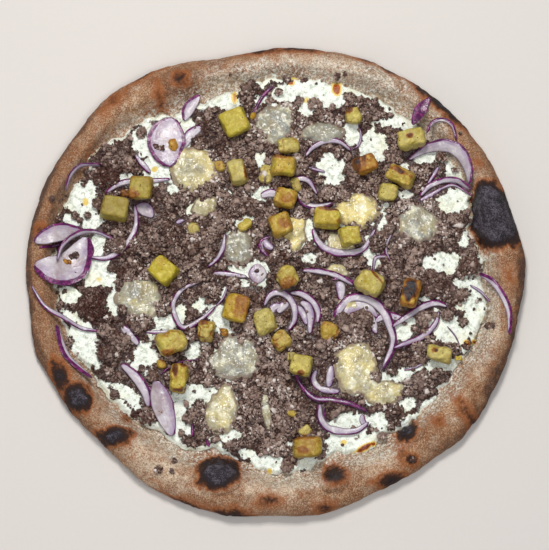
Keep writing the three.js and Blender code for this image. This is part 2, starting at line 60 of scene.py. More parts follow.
# Radii of the crust's outer edge and of the foot of its rim, every 15 degrees from +X.
CRUST_RADII = (
    162, 162, 161, 160, 159, 156, 153, 153, 160, 162, 162, 162,
    162, 161, 158, 156, 157, 157, 156, 155, 155, 158, 160, 161,
)
FOOT_RADII = (
    135, 131, 138, 138, 136, 134, 131, 128, 128, 138, 143, 144,
    141, 138, 133, 127, 125, 118, 126, 123, 125, 126, 128, 135,
)
CREST_SHARE = 0.5  # how far out on the rim its crest is
UNDERCUT = 5  # how far the edge turns in to the underside
CHAR_RIM = 4.2  # width of the brown ring outside a burnt place and of the black ring inside it

# How finely the pieces are drawn: points round a ring, and rings or rows along the piece.
CRUST_STEPS, RIM_ROWS, UNDER_ROWS = 840, 42, 8
CHEESE_STEPS, CHEESE_ROWS = 640, 148
POOL_STEPS, POOL_ROWS = 110, 34
ONION_ROWS = 64
FLOOR_SHARES = (0.4, 0.8, 0.94)  # radii of the crust's rings on its floor, as shares of the rim's foot
UNDER_SHARES = (0.94, 0.75, 0.5, 0.25)  # and on its underside, as shares of the turned-in edge

# Blisters raised on the rim: centre, half sizes, turn in degrees and height.
BLISTERS = (
    (141, 41, 14, 21, 15, 4), (61, 138, 14, 10, -20, 3), (-36, -129, 16, 14, 0, 3.5),
    (-104, -106, 12, 8, 30, 2.5), (-128, -79, 10, 11, 40, 2.5), (38, -133, 10, 8, 10, 3),
    (88, -100, 9, 8, 0, 3), (-62, 132, 12, 9, 20, 2.5), (108, 113, 16, 7, -45, 2),
    (76, -130, 9, 6, 20, 2), (-145, 62, 8, 14, 20, 2), (145, -52, 9, 14, -15, 2),
)

# Burnt places on the crust: centre, half sizes, turn and how black they are.
BURNT = (
    (141.5, 41, 14.2, 21, 13, 1), (151, 37, 8, 14, 14, 0.97), (-36, -128, 12.5, 10.5, 10, 0.98),
    (-103, -104, 9.5, 4.8, 5, 0.97), (-127, -79, 7.5, 8.5, 30, 0.97), (-139, -64, 4.5, 8, 20, 0.9),
    (38, -129, 7, 6.2, -30, 0.82), (85, -99, 6, 6, 0, 1), (-61, 131, 5, 4, 0, 0.76),
    (-75, 118, 2.6, 7, 15, 0.67), (-82, 108, 2.5, 2.5, 0, 0.6), (-4, -146, 7, 4.5, 0, 0.67),
    (75, -132, 8.5, 4.5, 10, 0.8), (33, -150, 6, 4.5, 0, 0.65), (82, -116, 2.4, 5, 0, 0.65),
    (89, -119, 2.2, 2.2, 0, 0.9), (108, 116, 20, 3.2, -42, 0.92), (-88, 135, 6, 2.5, 35, 0.8),
    (-76, 142, 4, 2, 20, 0.7), (-106, 116, 8, 3.5, 45, 0.7), (-10, 153, 12, 3.5, 0, 0.8),
    (16, 154, 14, 3.5, 0, 0.75), (61, 146, 8, 3, -15, 0.8), (76, 140, 7, 3.5, -30, 0.85),
    (-62, -146, 12, 2.5, -18, 0.8), (-29, -154, 14, 3, -6, 0.8), (126, -91, 4, 12, 38, 0.7),
    (-152, 31, 4, 4, 0, 0.6), (-120, 80, 2.5, 3.5, 0, 0.6), (106, -94, 3.5, 3, -45, 0.7),
    (-96, -92, 2.6, 2.2, 0, 0.7), (133, 75, 3, 3, 0, 0.6), (153, 0, 3, 5, 0, 0.55),
)

# Browner places on the crust, without black: centre, half sizes, turn and strength.
TOASTED = (
    (-145, 44, 8, 7, 0, 0.9), (-63, 130, 19, 13, 20, 1.05), (-38, 145, 14, 8, 8, 0.95),
    (-78, 114, 9, 12, 30, 0.7), (-24, 138, 4, 4, 0, 1), (-21, 147, 8, 5, 0, 0.8),
    (15, 137, 4, 3.5, 0, 0.7), (134, 76, 9, 8, 0, 0.9), (149, 0, 6, 12, 0, 0.7), (82, 127, 4, 4, 0, 0.8),
    (20, -142, 6, 5, 0, 0.8), (-36, -124, 21, 15, 0, 0.8), (-105, -106, 15, 9, 25, 0.9),
    (-128, -79, 13, 13, 30, 0.9), (-146, -30, 6, 14, 10, 0.8), (-143, -50, 8, 10, 20, 0.8),
    (85, -99, 11, 11, 0, 0.85), (120, -70, 10, 14, 30, 0.5), (104, -96, 8, 8, 0, 0.8),
    (41, -130, 12, 10, 15, 0.8), (-154, 18, 9, 34, 0, 0.8), (-142, 28, 5, 22, 0, 0.55),
    (-154, -18, 7, 22, 8, 0.85), (-122, 92, 12, 14, -40, 0.5), (157, -22, 6, 44, -6, 0.85),
    (147, -66, 7, 24, 24, 0.75), (112, -113, 26, 8, 46, 0.8), (80, -138, 20, 6, 28, 0.8),
    (-70, 143, 16, 6, 25, 0.6), (-30, 148, 16, 6, 5, 0.7), (120, 100, 9, 16, 40, 0.45),
    (134, 86, 7, 10, 30, 0.6),
)

# Pale floury places on the crust.
PALE = (
    (-78, -122, 30, 13, -28, 1), (-113, -88, 12, 9, -45, 0.7), (0, -136, 26, 8, 0, 0.8),
    (-124, -62, 6, 14, 30, 0.6), (70, -120, 14, 9, 25, 0.5), (40, 144, 50, 10, -14, 0.9),
    (-24, 136, 20, 8, 8, 0.4), (-10, -149, 30, 6, 0, 0.6), (138, -40, 7, 26, -8, 0.5),
    (138, 68, 6, 8, 0, 0.4),
)

# Greyish wet places, where cheese has run up the rim.
WET = (
    (8, 131, 46, 12, 0, 1), (66, 125, 26, 13, -25, 1), (-40, 122, 16, 9, 20, 0.8),
    (-80, 106, 14, 6, 35, 0.4), (100, 102, 14, 9, -45, 0.8), (126, 66, 6, 16, 20, 0.6),
    (134, 14, 7, 20, 0, 0.8), (135, -28, 9, 26, -10, 0.9), (106, -74, 22, 9, 50, 0.9),
    (60, -114, 24, 8, 22, 0.9), (18, -130, 26, 7, 3, 0.9), (-24, -119, 16, 6, -22, 0.8),
    (-124, -52, 6, 20, 25, 0.8), (-95, -92, 18, 8, -45, 0.8), (-62, -112, 20, 8, -28, 0.9),
    (-138, 30, 4, 26, 0, 0.25),
)

# Pools of richer melted cheese: centre, half sizes, turn, and how yellow and how grey they are.
POOLS = (
    (-53, 74, 14, 15, 0, 0.55, 0.2), (-46, 48, 9, 7, 20, 0.45, 0), (0, 103, 13, 14, 0, 0, 0.9),
    (32, 97, 15, 7, 5, 0.1, 0.8), (54, 45, 15, 12, 10, 1, 0), (93, 37, 14, 14, 0, 0.1, 0.7),
    (13, 31, 8, 12, 0, 0.8, 0), (-24, 21, 9, 11, 0, 0, 0.8), (-87, -13, 14, 15, 0, 0.35, 0.6),
    (-26, -53, 17, 15, 15, 0.1, 0.75), (-34, -85, 11, 16, -10, 0.5, 0.2),
    (53, -59, 14, 19, 5, 0.65, 0.35), (71, -75, 13, 8, 20, 0.5, 0.1),
)

# Smaller pools, too low for the solids.
SMALL_POOLS = (
    (43, 24, 10, 7, 0, 0.5, 0), (48, -16.5, 6, 5, 0, 0.5, 0), (41, 6, 8, 4, -8, 0.4, 0.1),
    (-5, -87, 3.2, 13, 10, 0.25, 0.6),
)

# Places where the cheese shows bare: centre, half sizes and turn.
BARE = (
    (-125, 52, 11, 10, 0), (-118, 38, 7, 4, 20), (-130, 40, 6, 4, 0), (-86, 91, 6, 9, 0),
    (-83, 98, 4, 4, 0), (-77, 73, 8, 10, 0), (-98, 66, 9, 3, 12), (-67, 58, 4, 3, 0), (-56, 46, 3, 3, 0),
    (-57, 102, 4, 5, 0), (-115, 3, 9, 10, 0), (-132, -11, 6, 5, 0), (-115, 22, 4, 7, 0),
    (-105, -17, 4, 7, 0), (-130, -25, 8, 2.5, -30), (-123, -43, 8, 16, 15), (-70, -27, 8, 5, 0),
    (-78, -37, 4, 3, 0), (-84, -51, 10, 8, 0), (-49, -17, 4, 4, 0), (-61, -21, 3, 4, 0),
    (-52, -47, 5, 5, 0), (23, 124, 19, 9, -5), (20, 112, 4, 4, 0), (-30, 117, 7, 5, -20),
    (-41, 116, 5, 2, 30), (-8, 119, 4, 3, 0), (-10, 79, 4, 4.5, 0), (-6, 57, 8, 4, 0),
    (-31, 58, 3, 1.5, 0), (38, 73, 8, 9, 0), (66, 88, 7, 10, 0), (51, 97, 4, 7, 0), (75, 104, 9, 2.5, 0),
    (88, 102, 4, 4, -40), (76, 112, 3, 1.5, 0), (98, 96, 3, 4, 0), (99, 80, 8, 2.5, 15),
    (118, 72, 4.5, 7, 0), (116, 51, 10, 7, 0), (84, 56, 4, 3, 0), (72, 46, 4, 4, 0), (71, 37, 3, 6, 0),
    (85, 74, 3, 2, 0), (-18, 38, 6, 3.5, 30), (-28, 27, 4, 4, 0), (22, 36, 3, 3, 0), (23, 14, 4, 3, 0),
    (24, 28, 2, 5, 30), (-23, 6, 6, 2.5, -15), (-11, 3.5, 6.5, 7, 0), (-20, -3, 4, 2.5, 0),
    (-34, -9, 3, 3, 0), (-37, -24, 7, 6, 0), (-33, -33, 5, 4, 0), (62, 17, 4, 9, 25), (110, 10, 10, 7, 0),
    (124, 25, 3, 4, 0), (136, 10, 4, 7, 0), (120, -5, 5, 4, 0), (132, -3, 8, 6, 0), (128, -16, 8, 6, 0),
    (113, -34, 13, 8, -30), (90, -28, 4, 2.5, 0), (136, -7, 9, 13, 0), (131, -25, 7, 8, 0),
    (137, 17, 7, 8, 0), (84, -35, 6, 4.5, 0), (98, -13, 3, 1.5, 0), (109, -56, 7, 4, 0),
    (-97, -74, 8, 3, -25), (-112, -68, 6, 2, -15), (-90, -83, 4, 2, -40), (-78, -99, 10, 5, -40),
    (-62, -90, 4, 14, 0), (-54, -77, 11, 7, 0), (-57, -97, 4, 6, 0), (-30, -103, 8, 5, 0),
    (-18, -114, 5, 3, -30), (-1, -121, 11, 5, -10), (8, -108, 3, 2, 0), (25, -121, 10, 5, 0),
    (49, -108, 18, 10, 10), (50, -94, 12, 5, 0), (67, -94, 5, 6, 0), (73, -64, 3, 2.5, 0),
    (84, -63, 7, 4, 10), (96, -60, 6, 3, 0), (87, -82, 5, 4, 0), (105, -56, 5, 5, 0),
)

# Yellow and orange places on the cheese: centre, half sizes, turn and strength.
SCORCHED = (
    (40.6, 126.5, 2.8, 3.6, 0, 1), (10.5, 131, 2.2, 1.8, 0, 1), (15, 137, 3, 3, 0, 0.6),
    (-24, 137, 3, 2.4, 0, 0.9), (-26, 121, 1.6, 4, 0, 0.8), (7, 117, 2, 1.5, 0, 0.7),
    (21, 119, 2, 2, 0, 0.45), (-78, 73, 1.9, 1.6, 0, 0.66), (-123, 51, 1.4, 2, 0, 0.68),
    (44.5, -107, 1.9, 1.6, 0, 0.6), (58, -110.5, 6, 1.8, 30, 1.1), (64, -108, 2.4, 1.4, 0, 1.1),
    (125, -42, 2.2, 1.8, -10, 1), (130, -41, 1.8, 1.4, 0, 1.1), (-3.5, -126, 2, 1.8, 0, 0.7),
    (5, 112, 1.4, 1.4, 0, 0.5), (-114, 0, 2, 1.5, 0, 0.4),
)

MINCE_MARGIN = 3.2  # how far the mince keeps from the cheese's edge, but on the left
MINCE_TONE = 0.38  # how light it is, from 0 to 1
MINCE_PIECES = 5  # how many pieces hold its grains
GRAIN_SPACING = 1.05
MOUNDS = ((10, 0.75), (6, 0.85), (3.6, 0.75))  # step of each grid of mounds, share of its cells with one
MOUND_REACH = 142  # half side of those grids
MAP_STEP, MAP_REACH = 0.6, 146  # cell and half side of the square maps of the mince
CRUMB_COUNT, CRUMB_REACH = 9000, 138  # loose crumbs tried, and half side of the square they are tried in

# Lumps of mince that lie apart on the bare cheese: place and radius.
LUMPS = (
    (-115, 50, 4.5), (-122, 42, 3), (-130, 42, 3), (-127, 39, 2.5), (-87, 97, 4), (-75, 57, 4.5),
    (-106, 7, 3.5), (-117, -9, 3.5), (127, 8, 8), (104, -4, 9), (114, -8, 5.5), (122, -11, 4.5),
    (96, -26, 5.5), (104, -24, 3), (112, -24, 4.5), (91, -33, 3), (97, -35, 2.6), (84.5, -29.5, 1.5),
    (17, 119, 2.7), (26, 116, 4.8), (12, 114, 2.6), (2.5, 124, 3), (-3, 119, 3), (38, 114, 2.5),
    (119, 72, 1.5), (74, 41, 2.2), (75, 34, 4), (71, 29, 4), (66, 20, 4), (84, 26, 5), (-108, 68, 7.5),
    (-117, -18, 9), (-86, -59, 2.8), (-79, -64, 4.5), (-57, -82.5, 2.2), (-48, -81, 3), (-56, -92, 3.8),
    (-60, -101, 2.5), (-38, -105, 3), (-82, -90, 6), (-74, -88, 2.4), (39, -88.5, 3), (51, -98, 2),
    (66, -99, 1.5), (70, -103, 3.2), (8, -123, 4.5), (63, -86, 3), (67, -84, 3), (95, -66, 6),
    (-110, -50, 6), (44, -30, 8), (57, -28, 8), (-102, 22, 6),
)

# Where the mince is redder: centre, half sizes, turn and strength.
REDDISH = (
    (-108, 68, 10, 10, 0, 0.9), (-117, -18, 13, 12, 0, 1), (-81, -90, 9, 8, 0, 1),
    (66, -86, 8, 5, 0, 0.6), (104, -4, 10, 9, 0, 0.5), (-75, 87, 5, 4, 0, 0.9),
)

# Crumbs of mince on the crust and on petals: place, width and how far they lie over the cheese.
STRAY_CRUMBS = (
    (-75, -126, 6, 0), (-66, -127, 4, 0), (-64.5, -120, 4, 0), (-144.5, 51, 4.5, 0), (41, 134, 5, 0),
    (46, 135, 3, 0), (138, -31, 4.5, 0), (141, -31, 4, 0), (133.5, -13.5, 2.4, 0), (89, -119, 4, 0),
    (-29, 134, 2, 0), (-74, 86.5, 4, 2), (-77, 87.5, 4, 2), (-53.5, 92.5, 2.2, 1.5), (-134, 31, 2, 1.6),
    (-131.5, 29.5, 2, 1.6), (-129, 3, 2.6, 1.8), (-129, 15.5, 5, 1.8), (-132, 14.5, 4, 1.8),
    (109, 83, 6, 1.6), (107, 80, 5, 1.4), (111, 79, 5, 1.4), (117, 72, 4, 1.4), (105, 86.5, 2.4, 1.6),
    (-11.5, 5, 2, 1.2), (-51, -25, 3, 1.6), (83, -91, 4.5, 0), (121, 95, 2.5, 0), (-4, -21, 4, 6),
)

PATH_POINTS = 26  # points on an onion's path from which distances to it are taken

# From PETAL_WIDTH on, a piece of onion is a petal. Its ends are drawn in to a share by a power of the sine.
PETAL_WIDTH = 7
PETAL_TIP, PETAL_POINT = 0.2, 0.8
SHRED_TIP, SHRED_POINT = 0.3, 0.5
LANE = 0.85  # how far out from the path, in half widths, a strip's left and right heights are read

# Red onion in the order in which it is laid: its width, the side that its skin is on (1 to the left of its
# path, -1 to the right, 0 both), how wide the purple of the skin shows, then x and y of its path's points.
ONIONS = (
    (8, 1, 1.8, -59, 105, -56, 113, -49, 122), (25, 0, 2.6, -67, 107, -70.5, 91, -68, 74),
    (2.5, 1, 0.8, -136, 57, -133, 67, -126, 74, -113, 75),
    (4, 1, 1, -110, 57, -101, 63, -90, 65, -79, 65, -68, 66),
    (4, 1, 1, -91, 49, -90, 36, -96, 23, -108, 14, -121, 14), (12, 1, 1.5, -156, 23, -141, 29, -125, 32),
    (22, -1, 3.4, -156, 7, -134, 6, -121, 27),
    (3, 1, 1.1, -141, 10, -138, 20, -130, 28, -118, 31, -104, 26),
    (3.5, 1, 0.9, 20, 81, 25, 87, 33, 91, 42, 91, 50, 85), (3.5, 1, 0.7, 10, 61, 15, 66, 22, 65, 28, 56),
    (4, -1, 1.5, 14, 57, 19, 50, 28, 47.5, 38, 50), (7.5, 0, 9, 101.5, 118.5, 95, 110, 90, 101),
    (2.8, 1, 1.4, 99, 95, 103, 102, 110, 104, 116, 100, 118.5, 90),
    (8, 1, 1.2, 87, 79, 100, 86, 112, 87, 121, 82, 126, 72, 127, 61),
    (4, 1, 1.2, 95, 55, 101, 61.5, 110, 65, 119, 64.5, 128, 58.5),
    (5, -1, 0.9, 25, 33, 28, 25, 35, 19, 46, 17, 58, 20, 66, 33),
    (4, 1, 1.2, 18, 5.5, 29, 5, 40, 2.5, 52, -4),
    (3, -1, 0.8, -158, -5, -149, -19, -137, -26, -125, -32.5, -114, -34.5),
    (4.5, -1, 2.6, -141, -31, -138, -43, -133, -53, -118, -66),
    (3.5, -1, 0.9, -47, -1, -60, -7, -66, -18, -60, -32, -48, -27, -38, -18),
    (6.5, 1, 1.2, -99, -56, -91, -63, -84, -73, -81, -84), (14, 1, 0.7, -77, -67, -72, -84, -66, -103),
    (4.5, 1, 0.6, -7, -18, -3, -11, 3, -9, 9, -12, 13, -19, 13, -27, 9, -34),
    (4.5, 1, 0.8, 10, -9, 18, -10, 25, -15, 28.5, -22, 28, -29),
    (6, 1, 1.6, 40, -31, 41, -22, 49, -13, 60, -13, 70, -20, 75, -31, 77, -43, 70, -60),
    (4.5, 1, 1.2, 76, -32, 86, -25, 97, -18, 105, -16, 112, -18),
    (4, 0, 0.6, 107, -21, 104, -30, 96, -38, 87, -42, 77, -46),
    (4.2, 1, 1.8, 133, 3, 141, -3, 148, -13, 152, -24, 152, -38),
    (3.5, 0, 1.4, 13, -62, 18, -71, 26, -78.5, 37, -79.5, 49, -82, 60, -87),
    (5, -1, 0.9, 29, -82, 29.5, -91, 34, -97.5, 43, -100, 53, -99.5, 61, -94),
)

# Scraps of onion that have baked into the cheese.
ONION_SCRAPS = (
    (6.5, 1, 1, -60, 87, -55, 96, -48, 101), (4, -1, 1, -91, 82, -86, 76, -81, 70),
    (1.8, 0, 0.4, 55, 103, 56.5, 95, 55, 89, 51, 86), (3.5, 1, 0.9, -32, 30, -33, 22, -36, 15, -43, 8),
    (3.6, 1, 0.7, -40, 4, -31, 3.5, -18, 1.5), (3.4, -1, 2.2, -3, 28, -8.5, 25, -8.5, 19.5, -4, 15),
    (5, 0, 0.2, -7, 26, -4.5, 22.5, -1, 20), (3, -1, 1.2, 76, 30, 72, 21, 75, 12),
    (6, 1, 1.2, -99, -31, -94, -36, -88, -43),
    (4.4, -1, 0.5, 27, -60, 25, -66, 29, -71.5, 36, -73.5, 42, -74),
    (5, 1, 0.4, 37, -57, 36, -64, 35, -71), (1.6, 0, 2, -74, -63, -68, -58, -60, -54.5, -49, -53),
    (2.2, 1, 1, 103, 55, 110, 60.5, 118, 62, 129, 55), (3.5, 0, 0.4, 95, 52, 102, 55.5, 109, 60),
    (3, 0, 0.4, 100, 63, 104, 69, 107, 74), (2.5, 1, 0.6, 64, 5, 66, 14, 75, 15),
    (3, -1, 0.7, -84, -35, -74, -35, -65, -34), (6, 0, 9, -82, -71, -78, -77, -75, -85),
    (5.5, 1, 0.6, 17, -15, 21.5, -18, 23.5, -25, 23, -36), (5, 0, 0.4, 14, -18, 18, -22, 21, -30),
    (6, 1, 0.8, 2, -22, 5, -18, 9, -16), (8, -1, 0.3, 44, -25, 50, -19, 59, -18.5, 67, -25),
    (5, 1, 0.4, -3, -24, -1, -19, 4, -17), (7, -1, 0.3, 57, -21, 62, -27, 66, -36),
    (6, -1, 0.6, 41, -2, 43, -6, 43, -14), (2.5, 1, 1.4, 38, -0.5, 44, 1, 52, -2),
    (1, 0, 0.3, 112, -31, 117, -37, 120, -43), (5, 1, 0.8, 65, -28, 73, -24, 85, -27),
    (2, -1, 0.4, 84, -60, 91, -58, 97, -55.5), (2, -1, 0.9, -38, -18, -33, -12, -30, -3),
    (2.5, 0, 2, -14, 110, -8, 121, -1, 128), (2, 0, 0.3, 127, -4, 134, -8.5, 140, -15),
    (9, 1, 0.5, -91, 48, -84, 46, -79, 41), (6, 1, 0.8, -9, 55, -2, 57, 6, 55),
    (12, -1, 0.5, -11, 10, -11, 3.5, -11, -3), (2.2, 0, 2, -153, 19, -143, 22, -133, 24.5),
    (1.2, 0, 2, 33, -83, 32.5, -88, 33, -93), (2.2, 0, 0.4, 22, 74, 27, 72.5, 33, 71),
    (2.2, 0, 2, -53, -95, -53, -99, -53, -103), (2, 0, 2, -44, -105, -43, -108, -42, -110),
    (3, 0, 0.3, -64, 37, -62, 38, -59, 39), (4, -1, 0.5, 60, -97, 57, -93, 57, -89),
    (1.6, 0, 1, -121, 26, -118, 20, -119, 14),
)

# Dice of potato: centre, width and depth, turn, then how golden, how browned, how pale
# (below 0 duller) and how rough each one is.
POTATOES = (
    (-26, 103, 18, 18, 25, 0, 0.1, 0.15, 0.2), (-87, 59, 15, 16, -4, 0.35, 0.45, -0.5, 0.3),
    (-104, 46, 18, 15, -12, 0.1, 0.2, -0.6, 0.2), (-24, 70, 12, 17, 14, 0, 0.2, 0.8, 0.4),
    (-72, 4.5, 17, 16, -40, 0.05, 0, 0, 0.1), (6, 73.5, 16, 14, -6, 0.4, 0.3, 0.1, 0.5),
    (8.5, 87.5, 14, 10, 8, 0.1, 0.25, 0.7, 0.7), (7, 52, 15, 12, -15, 0.65, 0.35, 0.1, 0.7),
    (4, 35, 15, 15, 20, 0.5, 0.4, 0.1, 0.5), (51, 108, 11, 12, 5, 0.1, 0.3, 0.6, 0.7),
    (89, 91, 18, 12, 12, 0.1, 0.1, 0.7, 0.6), (59, 75, 15, 12, 22, 1, 0.6, 0, 0.5),
    (82, 67, 19, 12, -25, 0.45, 0.3, 0.3, 0.6), (74, 56.5, 12, 11, -10, 0, 0.05, 0.6, 0.5),
    (34, 39, 18, 12.5, -4, 0.2, 0.1, 0.1, 0.3), (49, 27, 14, 13, 10, 0.1, 0.05, 0.3, 0.5),
    (8, -0.5, 13, 14, 25, 0.15, 0.35, 0.5, 0.9), (62, -4, 19, 15, -28, 0.1, 0.15, 0.7, 0.7),
    (88, -11, 12, 20, -12, 0.9, 0.5, 0, 0.5), (-25, -20, 17, 19, -16, 0.45, 0.3, 0, 0.5),
    (-6, -29, 14, 16, 20, 0.05, 0.1, 0.8, 0.7), (4, -42, 12, 12, 35, 0.5, 0.35, 0.4, 0.9),
    (-67, -43, 19, 16, 24, 0.25, 0.3, 0.4, 0.9), (-44.5, -35, 12, 14, -10, 0.35, 0.35, 0.6, 0.9),
    (-62, -66, 12, 20, -6, 0.3, 0.25, 0.2, 0.8), (17, -58, 15, 14, -14, 0.1, 0.15, 0.5, 0.5),
    (107, -49.5, 17, 10, -15, 0.1, 0.1, 0.8, 0.7), (21, -111, 19, 13, 4, 0.6, 0.3, -0.3, 0.5),
)

# Places where a die is roasted darker, over 1 where it is charred: centre, half sizes, turn and strength.
ROASTED = (
    (5, 35, 4.5, 4.5, 0, 0.8), (88.5, -9, 4, 7.5, -10, 1.5), (-20, -21, 6, 9, -10, 0.7),
    (39, 44, 8, 1.6, -4, 1.1), (43, 36, 3, 2, 40, 0.8), (53.5, 75, 2.4, 6, 10, 1.2),
    (58, 77, 1.6, 5, 10, 1), (80, 70, 7, 2, -25, 1), (47.5, 112, 3.5, 3.5, 0, 1.3),
    (88, 92, 2.6, 1.6, 0, 1), (-18.5, 71, 1.8, 4, 0, 1.2), (-97, 56, 5, 2.5, 10, 0.9),
    (-92, 53, 4, 2.6, 0, 0.9), (-70, -51, 6, 3.5, 10, 0.8), (-62, -77, 6, 2.6, 0, 1),
    (-64, -62, 1.8, 6, 10, 1.1), (-58, -58, 2.4, 2, 0, 1.2), (17, -64, 2.4, 1.6, 0, 1.2),
    (103, -48, 3.5, 2.4, 0, 0.9), (104.5, -48.5, 1.4, 1.4, 0, 1.4), (21, -105, 8, 1.8, 4, 0.9),
    (18, -114, 4, 2.4, 0, 0.8), (8, 52, 5, 4, 0, 0.75), (6, -5, 6, 4, 20, 0.8), (-1, -46, 3, 2.4, 0, 0.9),
    (65, 1, 7, 0.9, -50, 1), (4, 79, 5, 1.4, 0, 0.9), (-46, -30, 3, 2, 0, 1),
)

# Small scraps of potato: centre, width and depth, height, turn, golden, browned, pale and rough.
POTATO_SCRAPS = (
    (-36, 75, 7, 7, 4, 10, 0.6, 0.4, 0.3, 0.8), (-5, 69, 10, 13, 6, -10, 0.2, 0.2, 0.8, 1),
    (-52, 32, 9, 8, 5, 20, 0.2, 0.2, 0.8, 1), (-20, 36, 10, 7, 5, 30, 0.2, 0, 0.3, 0.8),
    (36, -35, 12, 11, 6, 0, 0.7, 0.4, 0.2, 1), (20, -100, 8, 7, 5, 40, 0.2, 0.3, 0.7, 0.7),
    (10, -51, 7, 7, 4, 0, 0.2, 0.3, 0.8, 0.8), (-33, -35, 6, 6, 4, 0, 0.8, 0.7, 0.1, 1),
    (11.5, -88, 6, 4, 4, -20, 0.6, 0.3, 0.2, 0.8), (119, -52, 5, 4, 3, 0, 0.5, 0.2, 0.1, 0.6),
    (14, 62, 5, 8, 4, 10, 0.2, 0.1, 0.6, 0.8), (-96, 56, 8, 5, 4, 0, 0.8, 0.6, 0, 0.8),
    (-73, -56, 5, 5, 3, 0, 0.5, 0.3, 0.1, 0.8), (-66.5, 88, 5.5, 7.5, 4.5, 10, 1, 0.45, 0, 1),
    (-135, 10.5, 6, 3, 4, 0, 1, 0.75, 0, 1), (-14, 108, 3, 4, 3, 0, 0.9, 0.4, 0, 1),
    (63, 0, 6, 5, 4, 0, 0.1, 0.1, 0.9, 1), (124.5, -42, 3, 2.6, 2.6, 0, 1, 0.8, 0, 1),
)


def srgb(*levels):
    """A colour given from 0 to 255, as linear light: ((c + 0.055) / 1.055) to the power 2.4."""
    shares = (level / 255 for level in levels)
    return tuple(c / 12.92 if c <= 0.04045 else ((c + 0.055) / 1.055) ** 2.4 for c in shares)


def length(name, description, millimetres):
    """A length for the panel, given in millimetres and kept in metres."""
    return bpy.props.FloatProperty(name=name, description=description, default=millimetres * MM, min=0,
                                   subtype="DISTANCE", unit="LENGTH")


def colour(name, description, *levels):
    """A colour for the panel, picked from 0 to 255 and kept as linear light."""
    return bpy.props.FloatVectorProperty(
        name=name, description=description, default=srgb(*levels), min=0, max=1, size=3, subtype="COLOR")


class PizzaSizes(bpy.types.PropertyGroup):
    """The sizes that shape the pizza, as in the part's source."""

    floor_thickness: length("Floor thickness", "Dough under the toppings", 4.5)
    rim_height: length("Rim height", "Crest of the puffed rim before its swellings", 15.5)
    rim_swell: length("Rim swell", "How much the crest rises and falls", 2.2)
    edge_height: length("Edge height", "Widest point of the rim's outer side", 5)
    cheese_top: length("Cheese top", "Level of the melted cheese", 7.2)
    pool_relief: length("Pool relief", "How far the richer pools stand up", 1.5)
    onion_thickness: length("Onion thickness", "Thickness of a shred of onion", 1.5)
    grain: length("Mince grain", "Radius of one grain of mince", 0.66)


class PizzaColours(bpy.types.PropertyGroup):
    """The colours of the pizza's finishes."""

    dough: colour("Dough", "Baked dough", 168, 127, 92)
    dough_pale: colour("Pale dough", "Floury dough", 214, 192, 166)
    dough_brown: colour("Browned dough", "Toasted dough", 132, 87, 54)
    dough_wet: colour("Wet dough", "Dough under a film of cheese", 168, 154, 134)
    burnt: colour("Burnt", "Tops of the blisters", 36, 31, 36)
    burnt_edge: colour("Burnt edge", "Rim of a burnt place", 58, 32, 20)
    cheese: colour("Cheese", "Melted white cheese", 238, 243, 232)
    # The cheese's shade colour is painted shade for its hollows.
    cheese_shade: colour("Cheese shade", "Hollows of the white cheese", 194, 199, 182)
    scorched: colour("Scorched cheese", "Browned cheese", 176, 84, 8)
    pool_yellow: colour("Yellow pool", "Rich melted cheese", 232, 214, 142)
    pool_cream: colour("Cream pool", "Creamy melted cheese", 160, 153, 130)
    pool_grey: colour("Grey pool", "Thin melted cheese", 148, 148, 139)
    mince_dark: colour("Dark mince", "Browned meat", 72, 50, 45)
    mince_light: colour("Light mince", "Greasy highlights of the meat", 166, 142, 130)
    mince_red: colour("Red mince", "Redder, darker meat", 76, 43, 35)
    onion: colour("Onion", "Flesh of the onion", 200, 193, 196)
    onion_lilac: colour("Lilac onion", "Flesh near the skin", 152, 130, 160)
    onion_skin: colour("Onion skin", "Purple edge of the onion", 78, 26, 72)
    potato: colour("Potato", "Yellow roast potato", 178, 160, 38)
    potato_golden: colour("Golden potato", "Golden roast potato", 168, 116, 38)
    potato_pale: colour("Pale potato", "Pale roast potato", 178, 164, 104)
    potato_dull: colour("Dull potato", "Dull roast potato", 127, 109, 62)
    potato_brown: colour("Browned potato", "Browned corners", 92, 48, 18)
    floor: colour("Floor", "The floor under the pizza", 214, 208, 202)


def sizes():
    return bpy.context.scene.pizza_sizes


def colours():
    return bpy.context.scene.pizza_colours


# Numbers on arrays


def lattice(cell, seed):
    """One fixed random number from 0 to 1 for each corner of a lattice: the fraction of a large sine."""
    value = np.sin(cell @ np.array([127.1, 311.7, 74.7]) + 53.3 * seed) * 43758.5453
    return value - np.floor(value)


def noise(points, size, seed=0):
    """Smooth noise from -1 to 1 with features of one size: corner values blended by 3t^2 - 2t^3."""
    scaled = points / size
    base = np.floor(scaled)
    share = scaled - base
    share = share * share * (3 - 2 * share)
    total = np.zeros(points.shape[:-1])
    for corner in np.ndindex(2, 2, 2):
        weight = np.prod(np.where(corner, share, 1 - share), axis=-1)
        total += weight * lattice(base + corner, seed)
    return 2 * total - 1


def smooth(value, low, high):
    """0 below low, 1 above high and 3t^2 - 2t^3 between them."""
    share = np.clip((value - low) / (high - low), 0, 1)
    return share * share * (3 - 2 * share)


def cubic(last, here, after, later, t):
    """The cubic from here to after whose slopes are half the difference of the neighbours on each side."""
    return ((2 * t**3 - 3 * t**2 + 1) * here + (t**3 - 2 * t**2 + t) * (after - last) / 2
            + (3 * t**2 - 2 * t**3) * after + (t**3 - t**2) * (later - here) / 2)


def around(values, angle):
    """A ring of values read at any angle, by the cubic."""
    values = np.asarray(values, float)
    place = angle / TURN % 1 * len(values)
    before = np.floor(place).astype(int)
    return cubic(*(values[(before + k) % len(values)] for k in (-1, 0, 1, 2)), place - before)


def ring_angles(steps):
    """Equal steps of angle round a ring, in radians from +X."""
    return np.arange(steps) / steps * TURN


def flat(x, y):
    """Points at height 0, for noise that is read from above."""
    return np.stack([x, y, np.zeros_like(x)], -1)


